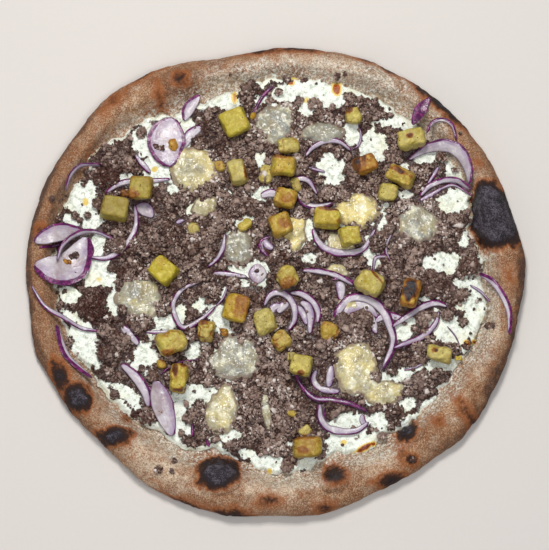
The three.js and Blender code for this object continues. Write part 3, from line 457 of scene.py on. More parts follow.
def turned(along, across, middle, turn):
    """Places turned by an angle in degrees and set round a middle."""
    angle = math.radians(turn)
    return (middle[0] + along * math.cos(angle) - across * math.sin(angle),
            middle[1] + along * math.sin(angle) + across * math.cos(angle))


def oval(x, y, patch):
    """Distance from an oval's centre in its own half sizes: 0 at the centre and 1 on the outline."""
    mid_x, mid_y, half_x, half_y, turn = patch[:5]
    angle = math.radians(turn)
    along = (x - mid_x) * math.cos(angle) + (y - mid_y) * math.sin(angle)
    across = (y - mid_y) * math.cos(angle) - (x - mid_x) * math.sin(angle)
    return np.hypot(along / half_x, across / half_y)


def domes(x, y, table, heights):
    """The highest of several half balls flattened to ovals: height times the square root of 1 - d^2."""
    best = np.zeros(np.shape(x))
    for patch, height in zip(table, heights):
        best = np.maximum(best, height * np.sqrt(np.maximum(0, 1 - oval(x, y, patch) ** 2)))
    return best


def patches(points, table, soft, ragged=0.2):
    """Strength of the strongest oval: full inside, 0 from 1 + soft on, its outline made ragged by noise."""
    x, y = points[..., 0], points[..., 1]
    wobble = ragged * (noise(points, 6, 3) + 0.6 * noise(points, 2.4, 4))
    best = np.zeros(x.shape)
    for patch in table:
        inside = 1 - smooth(oval(x, y, patch) + wobble, 1 - 0.4 * soft, 1 + 0.6 * soft)
        best = np.maximum(best, patch[5] * inside)
    return best


def depths(points, table, rim):
    """How deep a place lies in the ovals: 0 a rim's width outside an outline, 1 on it, 2 that far inside."""
    x, y = points[..., 0], points[..., 1]
    wobble = 0.4 * noise(points, 5, 3) + 0.25 * noise(points, 1.9, 4)
    best = np.zeros(x.shape)
    for patch in table:
        inside = (1 - oval(x, y, patch)) * min(patch[2:4]) / rim
        best = np.maximum(best, patch[5] ** 2 * np.clip(inside + wobble + 1, 0, 2))
    return best


# Heights that the part's source gives


def crust_edge(angle):
    """Radius of the crust's outer edge, with two low scallops."""
    return around(CRUST_RADII, angle) + 0.7 * np.sin(9 * angle + 1) + 0.5 * np.sin(17 * angle)


def rim_foot(angle):
    """Radius of the rim's foot, with one low scallop."""
    return around(FOOT_RADII, angle) + 0.8 * np.sin(13 * angle + 2)


def rim_height(angle):
    """Height of the rim's crest: a steady height and three sines round the pizza."""
    swell = 0.5 * np.sin(3 * angle + 0.8) + 0.3 * np.sin(7 * angle) + 0.2 * np.sin(11 * angle + 2)
    return (sizes().rim_height + sizes().rim_swell * swell) / MM


def crust_height(x, y):
    """Top of the crust: the floor, then sin^2 up to the crest, then a quarter of an ellipse to the edge."""
    angle = np.arctan2(y, x)
    foot, edge = rim_foot(angle), crust_edge(angle)
    share = np.clip((np.hypot(x, y) - foot) / (edge - foot), 0, 1)
    floor, edge_height = sizes().floor_thickness / MM, sizes().edge_height / MM
    crest = rim_height(angle) + domes(x, y, BLISTERS, [blister[5] for blister in BLISTERS])
    rise = np.sin(np.pi / 2 * np.minimum(share / CREST_SHARE, 1)) ** 2
    out = np.clip((share - CREST_SHARE) / (1 - CREST_SHARE), 0, 1)
    inner = floor + (crest - floor) * rise
    outer = edge_height + (crest - edge_height) * np.sqrt(1 - out**2)
    return np.where(share < CREST_SHARE, inner, outer)


def cheese_height(x, y):
    """Level of the cheese: two low waves and the domes of the pools."""
    waves = 0.45 * np.sin(x / 17 + 1) * np.cos(y / 13) + 0.3 * np.sin(x / 9 - y / 11 + 2)
    pools = sizes().pool_relief / MM * domes(x, y, POOLS, np.ones(len(POOLS)))
    return sizes().cheese_top / MM + waves + pools


def node_triangles(node):
    """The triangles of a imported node, in millimetres, as an array of three corners each."""
    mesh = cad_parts[node].data
    mesh.calc_loop_triangles()
    points = np.empty(len(mesh.vertices) * 3)
    mesh.vertices.foreach_get("co", points)
    corners = np.empty(len(mesh.loop_triangles) * 3, np.int32)
    mesh.loop_triangles.foreach_get("vertices", corners)
    return points.reshape(-1, 3)[corners.reshape(-1, 3)] / MM


def node_top(node, x, y):
    """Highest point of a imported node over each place, or nan: weights of the place in every triangle."""
    (ax, ay, az), (bx, by, bz), (cx, cy, cz) = node_triangles(node).transpose(1, 2, 0)
    px, py = x[:, None] - cx, y[:, None] - cy
    area = (by - cy) * (ax - cx) + (cx - bx) * (ay - cy)
    area = np.where(np.abs(area) < 1e-9, np.nan, area)
    wa = ((by - cy) * px + (cx - bx) * py) / area
    wb = ((cy - ay) * px + (ax - cx) * py) / area
    wc = 1 - wa - wb
    inside = (wa >= 0) & (wb >= 0) & (wc >= 0)
    highest = np.where(inside, wa * az + wb * bz + wc * cz, -np.inf).max(axis=1)
    return np.where(np.isfinite(highest), highest, np.nan)


# Meshes from arrays


def make_mesh(name, vertices, faces, attributes, finish, slot, replaced=(), soft=True):
    """A mesh object from arrays of points in millimetres and of equal-sided faces, riding the body."""
    mesh = bpy.data.meshes.new(name)
    sides = faces.shape[1]
    mesh.vertices.add(len(vertices))
    mesh.vertices.foreach_set("co", (vertices * MM).astype(np.float32).ravel())
    mesh.loops.add(faces.size)
    mesh.loops.foreach_set("vertex_index", faces.astype(np.int32).ravel())
    mesh.polygons.add(len(faces))
    mesh.polygons.foreach_set("loop_start", np.arange(0, faces.size, sides, dtype=np.int32))
    mesh.update(calc_edges=True)
    mesh.polygons.foreach_set("use_smooth", np.full(len(faces), soft))
    for key, values in attributes.items():
        layer = mesh.attributes.new(key, "FLOAT", "POINT")
        layer.data.foreach_set("value", np.asarray(values, np.float32).ravel())
    mesh.validate()
    piece = bpy.data.objects.new(name, mesh)
    bpy.context.scene.collection.objects.link(piece)
    mesh.materials.append(finish)
    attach(piece, BODY)
    if replaced:
        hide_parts(*replaced)
    return piece


def ring_faces(rings, steps):
    """Triangles of a closed surface: its points run ring by ring, with one point before and one after."""
    step = np.arange(steps)
    following = (step + 1) % steps
    ring = 1 + steps * np.arange(rings - 1)[:, None]
    a, b = ring + step, ring + following
    c, d = a + steps, b + steps
    walls = np.concatenate([np.stack([a, c, b], -1).reshape(-1, 3), np.stack([b, c, d], -1).reshape(-1, 3)])
    start = np.stack([np.zeros(steps, int), 1 + step, 1 + following], -1)
    last = 1 + rings * steps
    tail = 1 + (rings - 1) * steps
    end = np.stack([np.full(steps, last), tail + following, tail + step], -1)
    return np.concatenate([walls, start, end])


def joined(parts):
    """Several (vertices, faces, attributes) made one, each part's faces counted on from those before."""
    counts = np.cumsum([0] + [len(vertices) for vertices, _, _ in parts])
    vertices = np.concatenate([part[0] for part in parts])
    faces = np.concatenate([part[1] + offset for part, offset in zip(parts, counts)])
    attributes = {key: np.concatenate([part[2][key] for part in parts]) for key in parts[0][2]}
    return vertices, faces, attributes


def closed_part(rings, start, end, attributes):
    """The vertices, faces and attributes of a closed surface: rings, and the two points that close it.

    Each attribute is an array, rings x steps; the closing points take the mean of the ring beside them."""
    vertices = np.concatenate([[start], rings.reshape(-1, 3), [end]])
    filled = {key: np.concatenate([[values[0].mean()], values.ravel(), [values[-1].mean()]])
              for key, values in attributes.items()}
    return vertices, ring_faces(*rings.shape[:2]), filled


def ring_normals(rings):
    """Unit normals of a ring surface: the step outwards crossed with the step round."""
    outwards = np.gradient(rings, axis=0)
    round_step = np.roll(rings, -1, axis=1) - np.roll(rings, 1, axis=1)
    normals = np.cross(outwards, round_step)
    return normals / np.maximum(np.linalg.norm(normals, axis=-1, keepdims=True), 1e-9)


# Finishes


class Finish:
    """A material's node tree and the base colour that its coats build up. Each method adds a few nodes."""

    def __init__(self, name, base):
        self.material = bpy.data.materials.new(name)
        self.material.use_nodes = True
        self.tree = self.material.node_tree
        self.shader = self.tree.nodes["Principled BSDF"]
        self.place = self.add("ShaderNodeTexCoord", output="Object")
        self.base = base

    def add(self, kind, inputs=None, output=0, **settings):
        """Adds a node of a kind, sets and plugs its inputs, and gives back one of its outputs."""
        node = self.tree.nodes.new(kind)
        for key, value in settings.items():
            setattr(node, key, value)
        for key, value in (inputs or {}).items():
            self.plug(node.inputs[key], value)
        return node.outputs[output]

    def plug(self, socket, value):
        """Links an output to a socket, or sets the socket's own value."""
        if isinstance(value, bpy.types.NodeSocket):
            self.tree.links.new(value, socket)
        elif socket.type == "RGBA" and len(value) == 3:
            socket.default_value = (*value, 1)
        else:
            socket.default_value = value

    def attributes(self, *names):
        """The mesh's own values by their names."""
        return [self.add("ShaderNodeAttribute", output="Fac", attribute_name=name) for name in names]

    def noise(self, size, detail, roughness=0.5, shift=0):
        """Noise with features of a size in millimetres. A shift in metres keeps two noises apart."""
        place = self.place
        if shift:
            place = self.add("ShaderNodeVectorMath", {0: place, 1: (shift,) * 3}, operation="ADD")
        inputs = {"Vector": place, "Scale": 1 / (size * MM), "Detail": detail, "Roughness": roughness}
        return self.add("ShaderNodeTexNoise", inputs)

    def math(self, operation, *values):
        """The result of one operation on values or outputs."""
        return self.add("ShaderNodeMath", dict(enumerate(values)), operation=operation)

    def between(self, value, low, high):
        """0 below low, 1 above high, smooth between them; low above high turns it round."""
        inputs = {"Value": value, "From Min": low, "From Max": high}
        return self.add("ShaderNodeMapRange", inputs, interpolation_type="SMOOTHSTEP")

    def spread(self, value, noise, amount):
        """The value moved by the noise, up to half the amount to either side."""
        return self.math("ADD", value, self.math("MULTIPLY_ADD", noise, amount, -amount / 2))

    def mix(self, factor, first, second):
        """The first colour at factor 0, the second at 1."""
        return self.add("ShaderNodeMix", {0: factor, 6: first, 7: second}, 2, data_type="RGBA")

    def coat(self, colour, *factors):
        """Lays a colour over the base by the product of the factors."""
        product = functools.reduce(functools.partial(self.math, "MULTIPLY"), factors)
        self.base = self.mix(product, self.base, colour)

    def bump(self, height, distance, strength=1.0):
        """A bump of the given depth in millimetres on the shader's normal, on top of the one before."""
        inputs = {"Height": height, "Distance": distance * MM, "Strength": strength}
        normal = self.shader.inputs["Normal"]
        if normal.is_linked:
            inputs["Normal"] = normal.links[0].from_socket
        self.plug(normal, self.add("ShaderNodeBump", inputs))

    def done(self, roughness, ior, scatter=0, radii=()):
        """The material with its base, gloss and scattered light, whose radii are in millimetres."""
        inputs = {"Base Color": self.base, "Roughness": roughness, "IOR": ior}
        if scatter:
            inputs |= {"Subsurface Weight": scatter, "Subsurface Radius": [radius * MM for radius in radii],
                       "Subsurface Scale": 1}
        for key, value in inputs.items():
            self.plug(self.shader.inputs[key], value)
        return self.material


def dough_finish():
    """Baked dough: tan mottled with brown and flour, a pale film of cheese, blisters burnt in three rings.

    White specks on the film are painted highlights, and the toasted outer slope and left side also carry
    painted shade. Its underside has baked spots."""
    c = colours()
    f = Finish("baked_dough", c.dough)
    burnt, toast_and_shade, pale, wet, film, below = f.attributes("burnt", "toast_and_shade", "pale", "wet", "film", "below")
    f.coat(c.dough_brown, f.between(f.noise(11, 4, 0.6), 0.44, 0.62), 0.9)
    f.coat(c.dough_pale, f.between(f.noise(8, 4, 0.6), 0.5, 0.64), 0.65)
    f.coat(c.dough_pale, pale, f.between(f.noise(6, 4, 0.6), 0.25, 0.6))
    moist = f.math("MAXIMUM", wet, film)
    f.coat(c.dough_wet, moist, f.between(f.noise(4.5, 4, 0.65), 0.3, 0.58))
    # This mask browns the toasted places and also lays painted shade on the outer slope and the left side.
    f.coat(c.dough_brown, toast_and_shade, f.between(f.noise(4, 4, 0.7), 0.3, 0.6))
    f.coat(srgb(92, 50, 28), toast_and_shade, f.between(f.noise(5, 4, 0.7, 0.7), 0.54, 0.66), 0.65)
    f.coat(srgb(78, 54, 42), f.between(toast_and_shade, 0.8, 1.5))
    f.coat(srgb(152, 96, 58), f.between(f.noise(4.5, 4, 0.7, 0.4), 0.5, 0.64), 0.65)
    grain = f.noise(0.9, 3, 0.8)
    flour = f.math("MULTIPLY_ADD", toast_and_shade, -0.3, 0.5)
    f.coat(srgb(236, 216, 190), f.between(grain, 0.51, 0.6), flour)
    f.coat(srgb(84, 52, 34), f.between(grain, 0.49, 0.4), 0.55)
    # Painted highlights: near-white specks on the moist film that stand in for glints.
    f.coat(srgb(242, 238, 226), moist, f.between(f.noise(1.7, 3, 0.75), 0.5, 0.59), 0.65)
    spots = f.math("MULTIPLY", below, f.between(f.noise(13, 4, 0.6, 0.9), 0.52, 0.72))
    f.coat(srgb(124, 84, 54), f.between(spots, 0.0, 0.6))
    f.coat(srgb(62, 44, 36), f.between(spots, 0.4, 1.0))
    deep = f.spread(burnt, f.noise(1.6, 4, 0.75), 1.1)
    f.coat(srgb(150, 84, 38), f.between(deep, 0.0, 0.6), 0.85)
    f.coat(c.burnt_edge, f.between(deep, 0.4, 0.95))
    f.coat(srgb(36, 25, 25), f.between(deep, 0.85, 1.35))
    # Grey specks on the char: partly ash, partly a painted sheen.
    ash_and_sheen = f.spread(f.noise(0.9, 3, 0.75), f.noise(5, 2), 0.5)
    f.coat(f.mix(f.between(ash_and_sheen, 0.44, 0.64), c.burnt, srgb(94, 87, 97)), f.between(deep, 1.3, 1.9))
    f.bump(grain, 0.5, 0.9)
    f.bump(f.noise(4.5, 3, 0.55), 0.7, 0.6)
    return f.done(f.between(moist, 1.4, -0.4), 1.4)


def cheese_finish():
    """Melted white cheese: fine bright curd, greenish grey painted shade for its hollows, brown where it has
    caught, moist.

    Under the mince it is painted dark brown as the shade between the grains."""
    c = colours()
    f = Finish("melted_cheese", c.cheese)
    scorched, thin, meat = f.attributes("scorched", "thin", "meat")
    # Painted shade: greenish grey for the hollows of the curd, laid by noise.
    f.coat(c.cheese_shade, f.between(f.noise(2.6, 4, 0.7), 0.52, 0.38))
    f.coat(srgb(238, 236, 196), f.between(f.noise(13, 2), 0.5, 0.7), 0.35)
    f.coat(srgb(170, 146, 118), thin, f.between(f.noise(3.5, 4, 0.7), 0.34, 0.56))
    f.coat(srgb(228, 200, 104), f.between(scorched, 0.05, 0.5))
    f.coat(c.scorched, f.between(scorched, 0.62, 0.9))
    f.coat(srgb(110, 44, 10), f.between(scorched, 0.9, 1.1))
    # Painted shade: the cheese under and between the mince is darkened to the mince's dark colour.
    f.coat(c.mince_dark, f.between(f.spread(meat, f.noise(2.2, 3, 0.7), 1.6), 0.2, 0.7))
    f.bump(f.noise(1.1, 3, 0.7), 0.35, 0.9)
    f.bump(f.noise(3.2, 3, 0.6), 1.0, 0.7)
    return f.done(0.24, 1.42, 0.1, (1, 0.9, 0.7))


def pool_finish():
    """Rich melted cheese: yellow, cream or grey, mottled from painted shade in brownish hollows to painted
    highlights as white glints, glossy.
    """
    c = colours()
    f = Finish("melted_pool", c.pool_cream)
    yellow, grey, edge = f.attributes("yellow", "grey", "edge")
    f.coat(c.pool_yellow, yellow)
    f.coat(c.pool_grey, grey, f.between(f.noise(5, 3), 0.25, 0.55))
    cloud = f.noise(7, 3, 0.6)
    # Painted shade in brownish hollows and painted highlights in pale patches.
    f.coat(srgb(136, 120, 88), f.between(cloud, 0.48, 0.34), 0.6)
    f.coat(srgb(244, 240, 214), f.between(cloud, 0.52, 0.66), 0.6)
    glint_and_bump_noise = f.noise(1.8, 2, 0.5, 0.3)
    # Painted highlights: white glints where this noise is high; the same noise also bumps the surface.
    f.coat(srgb(255, 255, 250), f.between(glint_and_bump_noise, 0.6, 0.7), 0.65)
    f.coat(srgb(140, 120, 106), f.between(f.spread(edge, f.noise(3, 3, 0.6), 1.6), 0.35, 0.9), 0.75)
    f.bump(glint_and_bump_noise, 0.5, 0.8)
    f.bump(f.noise(4.5, 2), 1.2)
    return f.done(0.18, 1.46, 0.2, (1.5, 1.2, 0.6))


def mince_finish():
    """Browned minced meat: each grain its own brown, with painted shade low in the mounds and painted light
    on their tops, some redder, the lightest with cheese on, greasy.
    """
    c = colours()
    f = Finish("browned_mince", c.mince_dark)
    tone, red = f.attributes("tone", "red")
    shade = f.spread(tone, f.noise(0.8, 3, 0.75), 0.9)
    f.coat(srgb(86, 56, 44), f.between(f.noise(9, 2), 0.42, 0.62))
    f.coat(c.mince_light, f.between(shade, 0.0, 0.8))
    f.coat(srgb(222, 212, 204), f.between(shade, 0.85, 1.15))
    f.coat(c.mince_red, red, f.between(shade, 0.9, 0.2))
    f.bump(f.noise(0.7, 2, 0.7), 0.4)
    return f.done(0.36, 1.42)


def onion_finish():
    """Soft red onion: pale flesh, lilac towards its skin, faint veins along it, painted shade along its
    edges and underside, purple skin.
    """
    c = colours()
    f = Finish("red_onion", c.onion)
    skin, along, lane, dark, lilac, clear = f.attributes("skin", "along", "lane", "dark", "lilac", "clear")
    track = f.add("ShaderNodeCombineXYZ", {"X": f.math("MULTIPLY", along, 0.1), "Y": lane})
    veins = f.add("ShaderNodeTexNoise", {"Vector": track, "Scale": 1.1, "Detail": 3, "Roughness": 0.6})
    cloud = f.noise(5, 4, 0.65)
    f.coat(c.onion_lilac, f.between(f.spread(f.spread(lilac, veins, 0.6), cloud, 1.2), 0.0, 0.9))
    f.coat(srgb(232, 230, 228), f.between(cloud, 0.42, 0.3), 0.6)
    f.coat(srgb(146, 120, 124), clear, f.between(f.noise(8, 4, 0.6, 0.2), 0.4, 0.68), 0.6)
    # Painted shade: a darker band along both edges, as a contact shadow, and on the underside.
    f.coat(srgb(90, 54, 90), dark, 0.75)
    purple = f.mix(f.between(f.noise(2.4, 3), 0.42, 0.66), c.onion_skin, srgb(128, 46, 106))
    f.coat(purple, f.between(skin, 0.25, 0.7))
    f.bump(veins, 0.2, 0.4)
    f.bump(f.noise(2.2, 3, 0.6), 0.5, 0.6)
    return f.done(0.22, 1.42, 0.1, (0.6, 0.5, 0.6))


def potato_finish():
    """Roast potato: yellow to golden, pale or dull, with painted highlights in light patches, browned and
    charred in patches, with dark specks.
    """
    c = colours()
    f = Finish("roast_potato", c.potato)
    golden, browned, pale = f.attributes("golden", "browned", "pale")
    cloud = f.noise(3, 4, 0.7)
    f.coat(c.potato_golden, golden)
    f.coat(c.potato_pale, pale, f.between(f.noise(6, 3, 0.6), 0.2, 0.5))
    # Painted highlights: light yellow patches.
    f.coat(srgb(240, 222, 120), f.between(cloud, 0.48, 0.66), 0.4)
    f.coat(srgb(140, 106, 30), f.between(cloud, 0.46, 0.34), 0.3)
    f.coat(c.potato_dull, pale, -1)
    deep = f.spread(browned, f.noise(1.8, 3, 0.75), 0.9)
    f.coat(srgb(150, 96, 36), f.between(deep, 0.25, 0.7))
    f.coat(c.potato_brown, f.between(deep, 0.6, 1.05))
    f.coat(srgb(44, 38, 40), f.between(deep, 1.05, 1.35))
    specks = f.add("ShaderNodeTexVoronoi", {"Vector": f.place, "Scale": 1 / (3.2 * MM)}, "Distance")
    f.coat(srgb(52, 34, 16), f.between(specks, 0.15, 0.08))
    f.bump(f.noise(1.6, 3, 0.65), 0.6, 0.9)
    f.bump(f.noise(4, 3, 0.6), 0.8, 0.7)
    return f.done(0.36, 1.36, 0.1, (1, 0.8, 0.3))


# Crust


def crust_rings(steps):
    """Rings of the crust from the middle of its floor over the rim and under it, before their relief.

    On top the height is crust_height; below the edge a quarter of a circle turns in to the underside."""
    angle = ring_angles(steps)
    foot, edge = rim_foot(angle), crust_edge(angle)
    inner = CREST_SHARE * np.linspace(0, 1, RIM_ROWS)
    outer = CREST_SHARE + (1 - CREST_SHARE) * np.sin(np.linspace(0, np.pi / 2, RIM_ROWS)[1:])
    under = np.linspace(0, np.pi / 2, UNDER_ROWS + 1)[1:]
    edge_height = sizes().edge_height / MM
    radii = np.concatenate([
        np.array(FLOOR_SHARES)[:, None] * foot,
        foot + np.concatenate([inner, outer])[:, None] * (edge - foot),
        edge - UNDERCUT * (1 - np.cos(under))[:, None],
        np.array(UNDER_SHARES)[:, None] * (edge - UNDERCUT),
    ])
    x, y = radii * np.cos(angle), radii * np.sin(angle)
    z = crust_height(x, y)
    flat_rows = len(UNDER_SHARES)
    z[-UNDER_ROWS - flat_rows:-flat_rows] = edge_height * (1 - np.sin(under))[:, None]
    z[-flat_rows:] = 0
    return np.stack([x, y, z], -1)


def build_crust():
    """The crust: its rings pushed along their normals by noise in five sizes, and masks for its finish."""
    rings = crust_rings(CRUST_STEPS)
    lift = smooth(rings[..., 2], 0.2, 4)
    lift[:len(FLOOR_SHARES)] = 0
    burnt = patches(rings, BURNT, 0.5)
    relief = 0.8 * noise(rings, 36, 1) + 0.6 * noise(rings, 13, 2) + 0.4 * noise(rings, 5.5, 3)
    relief += 0.24 * noise(rings, 2.6, 4) + 0.22 * burnt * noise(rings, 2.2, 5) + 0.1 * noise(rings, 1.5, 9)
    relief -= 0.5 * (1 - np.abs(noise(rings, 15, 6))) ** 10
    rings = rings + (lift * relief)[..., None] * ring_normals(rings)
    rings[..., 2] = np.maximum(rings[..., 2], 0)
    far = np.hypot(rings[..., 0], rings[..., 1])
    angle = np.arctan2(rings[..., 1], rings[..., 0])
    low = smooth(rings[..., 2], 8, 0.5) * smooth(far, 135, 148)
    share = (far - rim_foot(angle)) / (crust_edge(angle) - rim_foot(angle))
    wobble = 0.14 * noise(rings, 9, 14)
    # The left side is toasted and also darkened by painted shade; the film is thinner there as well.
    left = smooth(-np.cos(angle), 0.55, 0.9) * smooth(far, 100, 130)
    below = smooth(rings[..., 2], 0.6, 0)
    # The outer slope is browned all round, and painted shade darkens it most at the left and right, where it
    # turns from the light, less at 220 and 32 degrees.
    flank_shade = smooth(np.abs(np.cos(angle)), 0.5, 0.9) - 0.35 * smooth(-np.cos(angle - 0.7), 0.8, 1)
    flank_shade += 0.15 * smooth(np.cos(angle + 1.83), 0.97, 1) - 0.7 * smooth(np.cos(angle - 0.55), 0.95, 1)
    outer = smooth(share + wobble, 0.55, 0.95) * (0.6 + 0.85 * flank_shade)
    masks = {
        "burnt": depths(rings, BURNT, CHAR_RIM),
        "toast_and_shade": np.maximum.reduce([patches(rings, TOASTED, 0.8, 0.35), 0.9 * low, outer, 0.9 * left]),
        "pale": patches(rings, PALE, 0.8, 0.35) * (1 - np.clip(outer, 0, 1)),
        "wet": patches(rings, WET, 0.9, 0.35),
        "film": (1 - 0.75 * left) * smooth(share + wobble, 0.42, 0.12) * (1 - below),
        "below": below,
    }
    floor = sizes().floor_thickness / MM
    part = closed_part(rings, (0, 0, floor), (0, 0, 0), masks)
    make_mesh("crust_dough", *part, dough_finish(), "dough", ["crust"])


# Cheese


def cheese_reach(angle):
    """Radius to which the cheese runs: the rim's foot and a ragged few millimetres up its slope."""
    ring = flat(130 * np.cos(angle), 130 * np.sin(angle))
    ragged = 3.4 * noise(ring, 15, 7) + 2.2 * noise(ring, 6, 8) + 1.3 * noise(ring, 2.6, 9)
    return rim_foot(angle) + 2 + ragged


def sheet_top(x, y):
    """Top of the white cheese: its level with lumps in three sizes, and a thin film where the rim rises."""
    points = flat(x, y)
    lumps = 0.7 * np.abs(noise(points, 12, 11)) + 0.6 * noise(points, 4.5, 12)
    lumps += 0.25 * noise(points, 2.2, 13)
    level = cheese_height(x, y) - 0.5 + lumps
    left = smooth(cheese_reach(np.arctan2(y, x)) - np.hypot(x, y), 0, 3.5)
    return np.maximum(level - 2.5 * (1 - left), crust_height(x, y) + 0.9 * left - 0.25)


def build_cheese():
    """The white cheese: rings out to its ragged reach, then one ring below to close it.

    Where the mince lies, the sheet fills the mince's mounds and takes the mince's dark colour as painted
    shade."""
    angle = ring_angles(CHEESE_STEPS)
    shares = np.linspace(0.01, 1, CHEESE_ROWS)[:, None] ** 0.75
    radii = shares * cheese_reach(angle)
    x, y = radii * np.cos(angle), radii * np.sin(angle)
    mince = read_map(mince_maps()[0], x, y)
    top = np.stack([x, y, sheet_top(x, y) + 0.85 * mince], -1)
    under = top[-1:] * np.array([0.96, 0.96, 0]) + np.array([0, 0, sizes().floor_thickness / MM - 0.5])
    rings = np.concatenate([top, under])
    # Painted shade under the mince: where the mounds and the open ground lie, the cheese is darkened.
    meat = np.maximum(smooth(mince, 0.1, 0.7), 0.8 * smooth(open_ground(x, y), -0.3, 1.2))
    masks = {"scorched": patches(rings, SCORCHED, 0.9, 0.3),
             "thin": smooth(rings[..., 2] - crust_height(rings[..., 0], rings[..., 1]), 0.9, 0.1),
             "meat": np.concatenate([meat, meat[-1:]])}
    middle = sizes().cheese_top / MM
    part = closed_part(rings, (0, 0, middle), (0, 0, middle - 3), masks)
    make_mesh("cheese_sheet", *part, cheese_finish(), "cheese", ["cheese_with_mince"])


def pool_part(pool, height, seed):
    """One pool: rings out from its middle to a ragged outline, domed by 1 - d^3, lumpy and tucked under."""
    mid_x, mid_y, half_x, half_y, turn, yellow, grey = pool
    angle = ring_angles(POOL_STEPS)
    share = np.concatenate([np.linspace(0.03, 1, POOL_ROWS), [0.97]])[:, None]
    rim = np.stack([np.cos(angle), np.sin(angle), np.full(POOL_STEPS, seed * 3.7)], -1)
    ragged = 1.05 + 0.26 * noise(rim, 0.7, seed) + 0.12 * noise(rim, 0.3, seed)
    ragged += 0.03 * noise(rim, 0.12, seed)
    along, across = share * half_x * ragged * np.cos(angle), share * half_y * ragged * np.sin(angle)
    x, y = turned(along, across, (mid_x, mid_y), turn)
    points = flat(x, y)
    lumps = 0.9 * np.abs(noise(points, 6, seed)) + 0.35 * noise(points, 2.8, seed + 1)
    lumps += 0.1 * noise(points, 1.5, seed + 2)
    dome = (1 - share**3) * height + lumps * smooth(share, 1.02, 0.75)
    z = cheese_height(x, y) + dome + 0.3
    z[-1] = cheese_height(x[-1], y[-1]) - 1.2
    masks = {"yellow": yellow + 0.35 * noise(points, 8, seed),
             "grey": grey + 0.5 * noise(points, 6, seed + 3),
             "edge": smooth(share, 0.62, 1.0) + 0 * x}
    masks = {key: np.clip(values, 0, 1) for key, values in masks.items()}
    top, bottom = ((mid_x, mid_y, z[row].mean()) for row in (0, -1))
    return closed_part(np.stack([x, y, z], -1), top, bottom, masks)


def build_pools():
    """The pools of melted cheese, joined in one piece."""
    parts = [pool_part(pool, 2, i + 1) for i, pool in enumerate(POOLS)]
    parts += [pool_part(pool, 1, i + 31) for i, pool in enumerate(SMALL_POOLS)]
    make_mesh("cheese_pools", *joined(parts), pool_finish(), "cheese")


# Mince


def ball():
    """A solid of twenty faces: its corners are turns of (0, 1, golden ratio), its faces close triples."""
    golden = (1 + 5**0.5) / 2
    signs = np.array([(a, b) for a in (-1, 1) for b in (-1, 1)], float)
    four = np.stack([np.zeros(4), signs[:, 0], golden * signs[:, 1]], -1)
    corners = np.concatenate([np.roll(four, k, axis=1) for k in range(3)])
    triples = np.array([(i, j, k) for i in range(12) for j in range(i) for k in range(j)])
    a, b, c = (corners[triples[:, n]] for n in range(3))
    near = [np.isclose(np.linalg.norm(p - q, axis=1), 2) for p, q in ((a, b), (b, c), (c, a))]
    faces = triples[np.all(near, axis=0)]
    a, b, c = (corners[faces[:, n]] for n in range(3))
    inward = np.einsum("ij,ij->i", np.cross(b - a, c - a), a) < 0
    faces[inward] = faces[inward][:, ::-1]
    return corners / np.linalg.norm(corners[0]), faces


def random_turns(draw, count):
    """Random turns as matrices, from quaternions of four normal numbers."""
    w, x, y, z = (q := draw.normal(size=(4, count))) / np.linalg.norm(q, axis=0)
    return np.stack([
        np.stack([1 - 2 * (y * y + z * z), 2 * (x * y - w * z), 2 * (x * z + w * y)], -1),
        np.stack([2 * (x * y + w * z), 1 - 2 * (x * x + z * z), 2 * (y * z - w * x)], -1),
        np.stack([2 * (x * z - w * y), 2 * (y * z + w * x), 1 - 2 * (x * x + y * y)], -1),
    ], 1)


def scattered(shape, centres, radii, rough, marks, draw):
    """A copy of the shape for each centre, turned, stretched and made uneven at random.

    Each mark is an array with a value for each copy, which becomes an attribute of all its corners."""
    corners, faces = shape
    count = len(centres)
    stretch = draw.uniform(0.6, 1.5, (count, 1, 3))
    uneven = draw.uniform(1 - rough, 1 + rough, (count, len(corners), 1))
    copies = np.einsum("nij,nkj->nki", random_turns(draw, count), corners[None] * uneven * stretch)
    vertices = centres[:, None] + copies * radii[:, None, None]
    offsets = np.arange(count)[:, None, None] * len(corners)
    attributes = {key: np.repeat(values, len(corners)) for key, values in marks.items()}
    return vertices.reshape(-1, 3), (faces[None] + offsets).reshape(-1, 3), attributes


def path_points(path, count):
    """Points along a smooth path through the given ones, x and y in turn, by the cubic."""
    p = np.reshape(np.array(path, float), (-1, 2))
    p = np.concatenate([[2 * p[0] - p[1]], p, [2 * p[-1] - p[-2]]])
    place = np.linspace(0, len(p) - 3, count)
    before = np.minimum(place.astype(int), len(p) - 4)
    return cubic(*(p[before + k] for k in range(4)), (place - before)[:, None])


def onion_distance(x, y, strips):
    """Distance to the nearest of the strips' outlines, below 0 on a strip."""
    best = np.full(x.shape, 1e3)
    for width, _, _, *path in strips:
        for px, py in path_points(path, PATH_POINTS):
            best = np.minimum(best, np.hypot(x - px, y - py) - width / 2)
    return best


def open_ground(x, y):
    """How many millimetres inside the ground of the mince a place lies: off bare cheese, pools and edge."""
    points = flat(x, y)
    wobble = 0.3 * noise(points, 7, 21) + 0.3 * noise(points, 2.8, 22)
    best = cheese_reach(np.arctan2(y, x)) - np.hypot(x, y) + 4.2 * noise(points, 9, 28)
    best -= MINCE_MARGIN * smooth(x, -125, -95)
    for patch in BARE:
        best = np.minimum(best, (oval(x, y, patch) - 1.12 + wobble) * min(patch[2:4]))
    for pool in (*POOLS, *SMALL_POOLS):
        best = np.minimum(best, (oval(x, y, pool) - 0.88 + 0.5 * wobble) * min(pool[2:4]))
    return best


def shaken_grid(step, shake, draw):
    """Places on a square grid, each moved at random by up to a share of its step along x and y."""
    axis = np.arange(-MOUND_REACH, MOUND_REACH, step)
    return [values.ravel() + draw.uniform(-shake, shake, values.size) * step
            for values in np.meshgrid(axis, axis)]


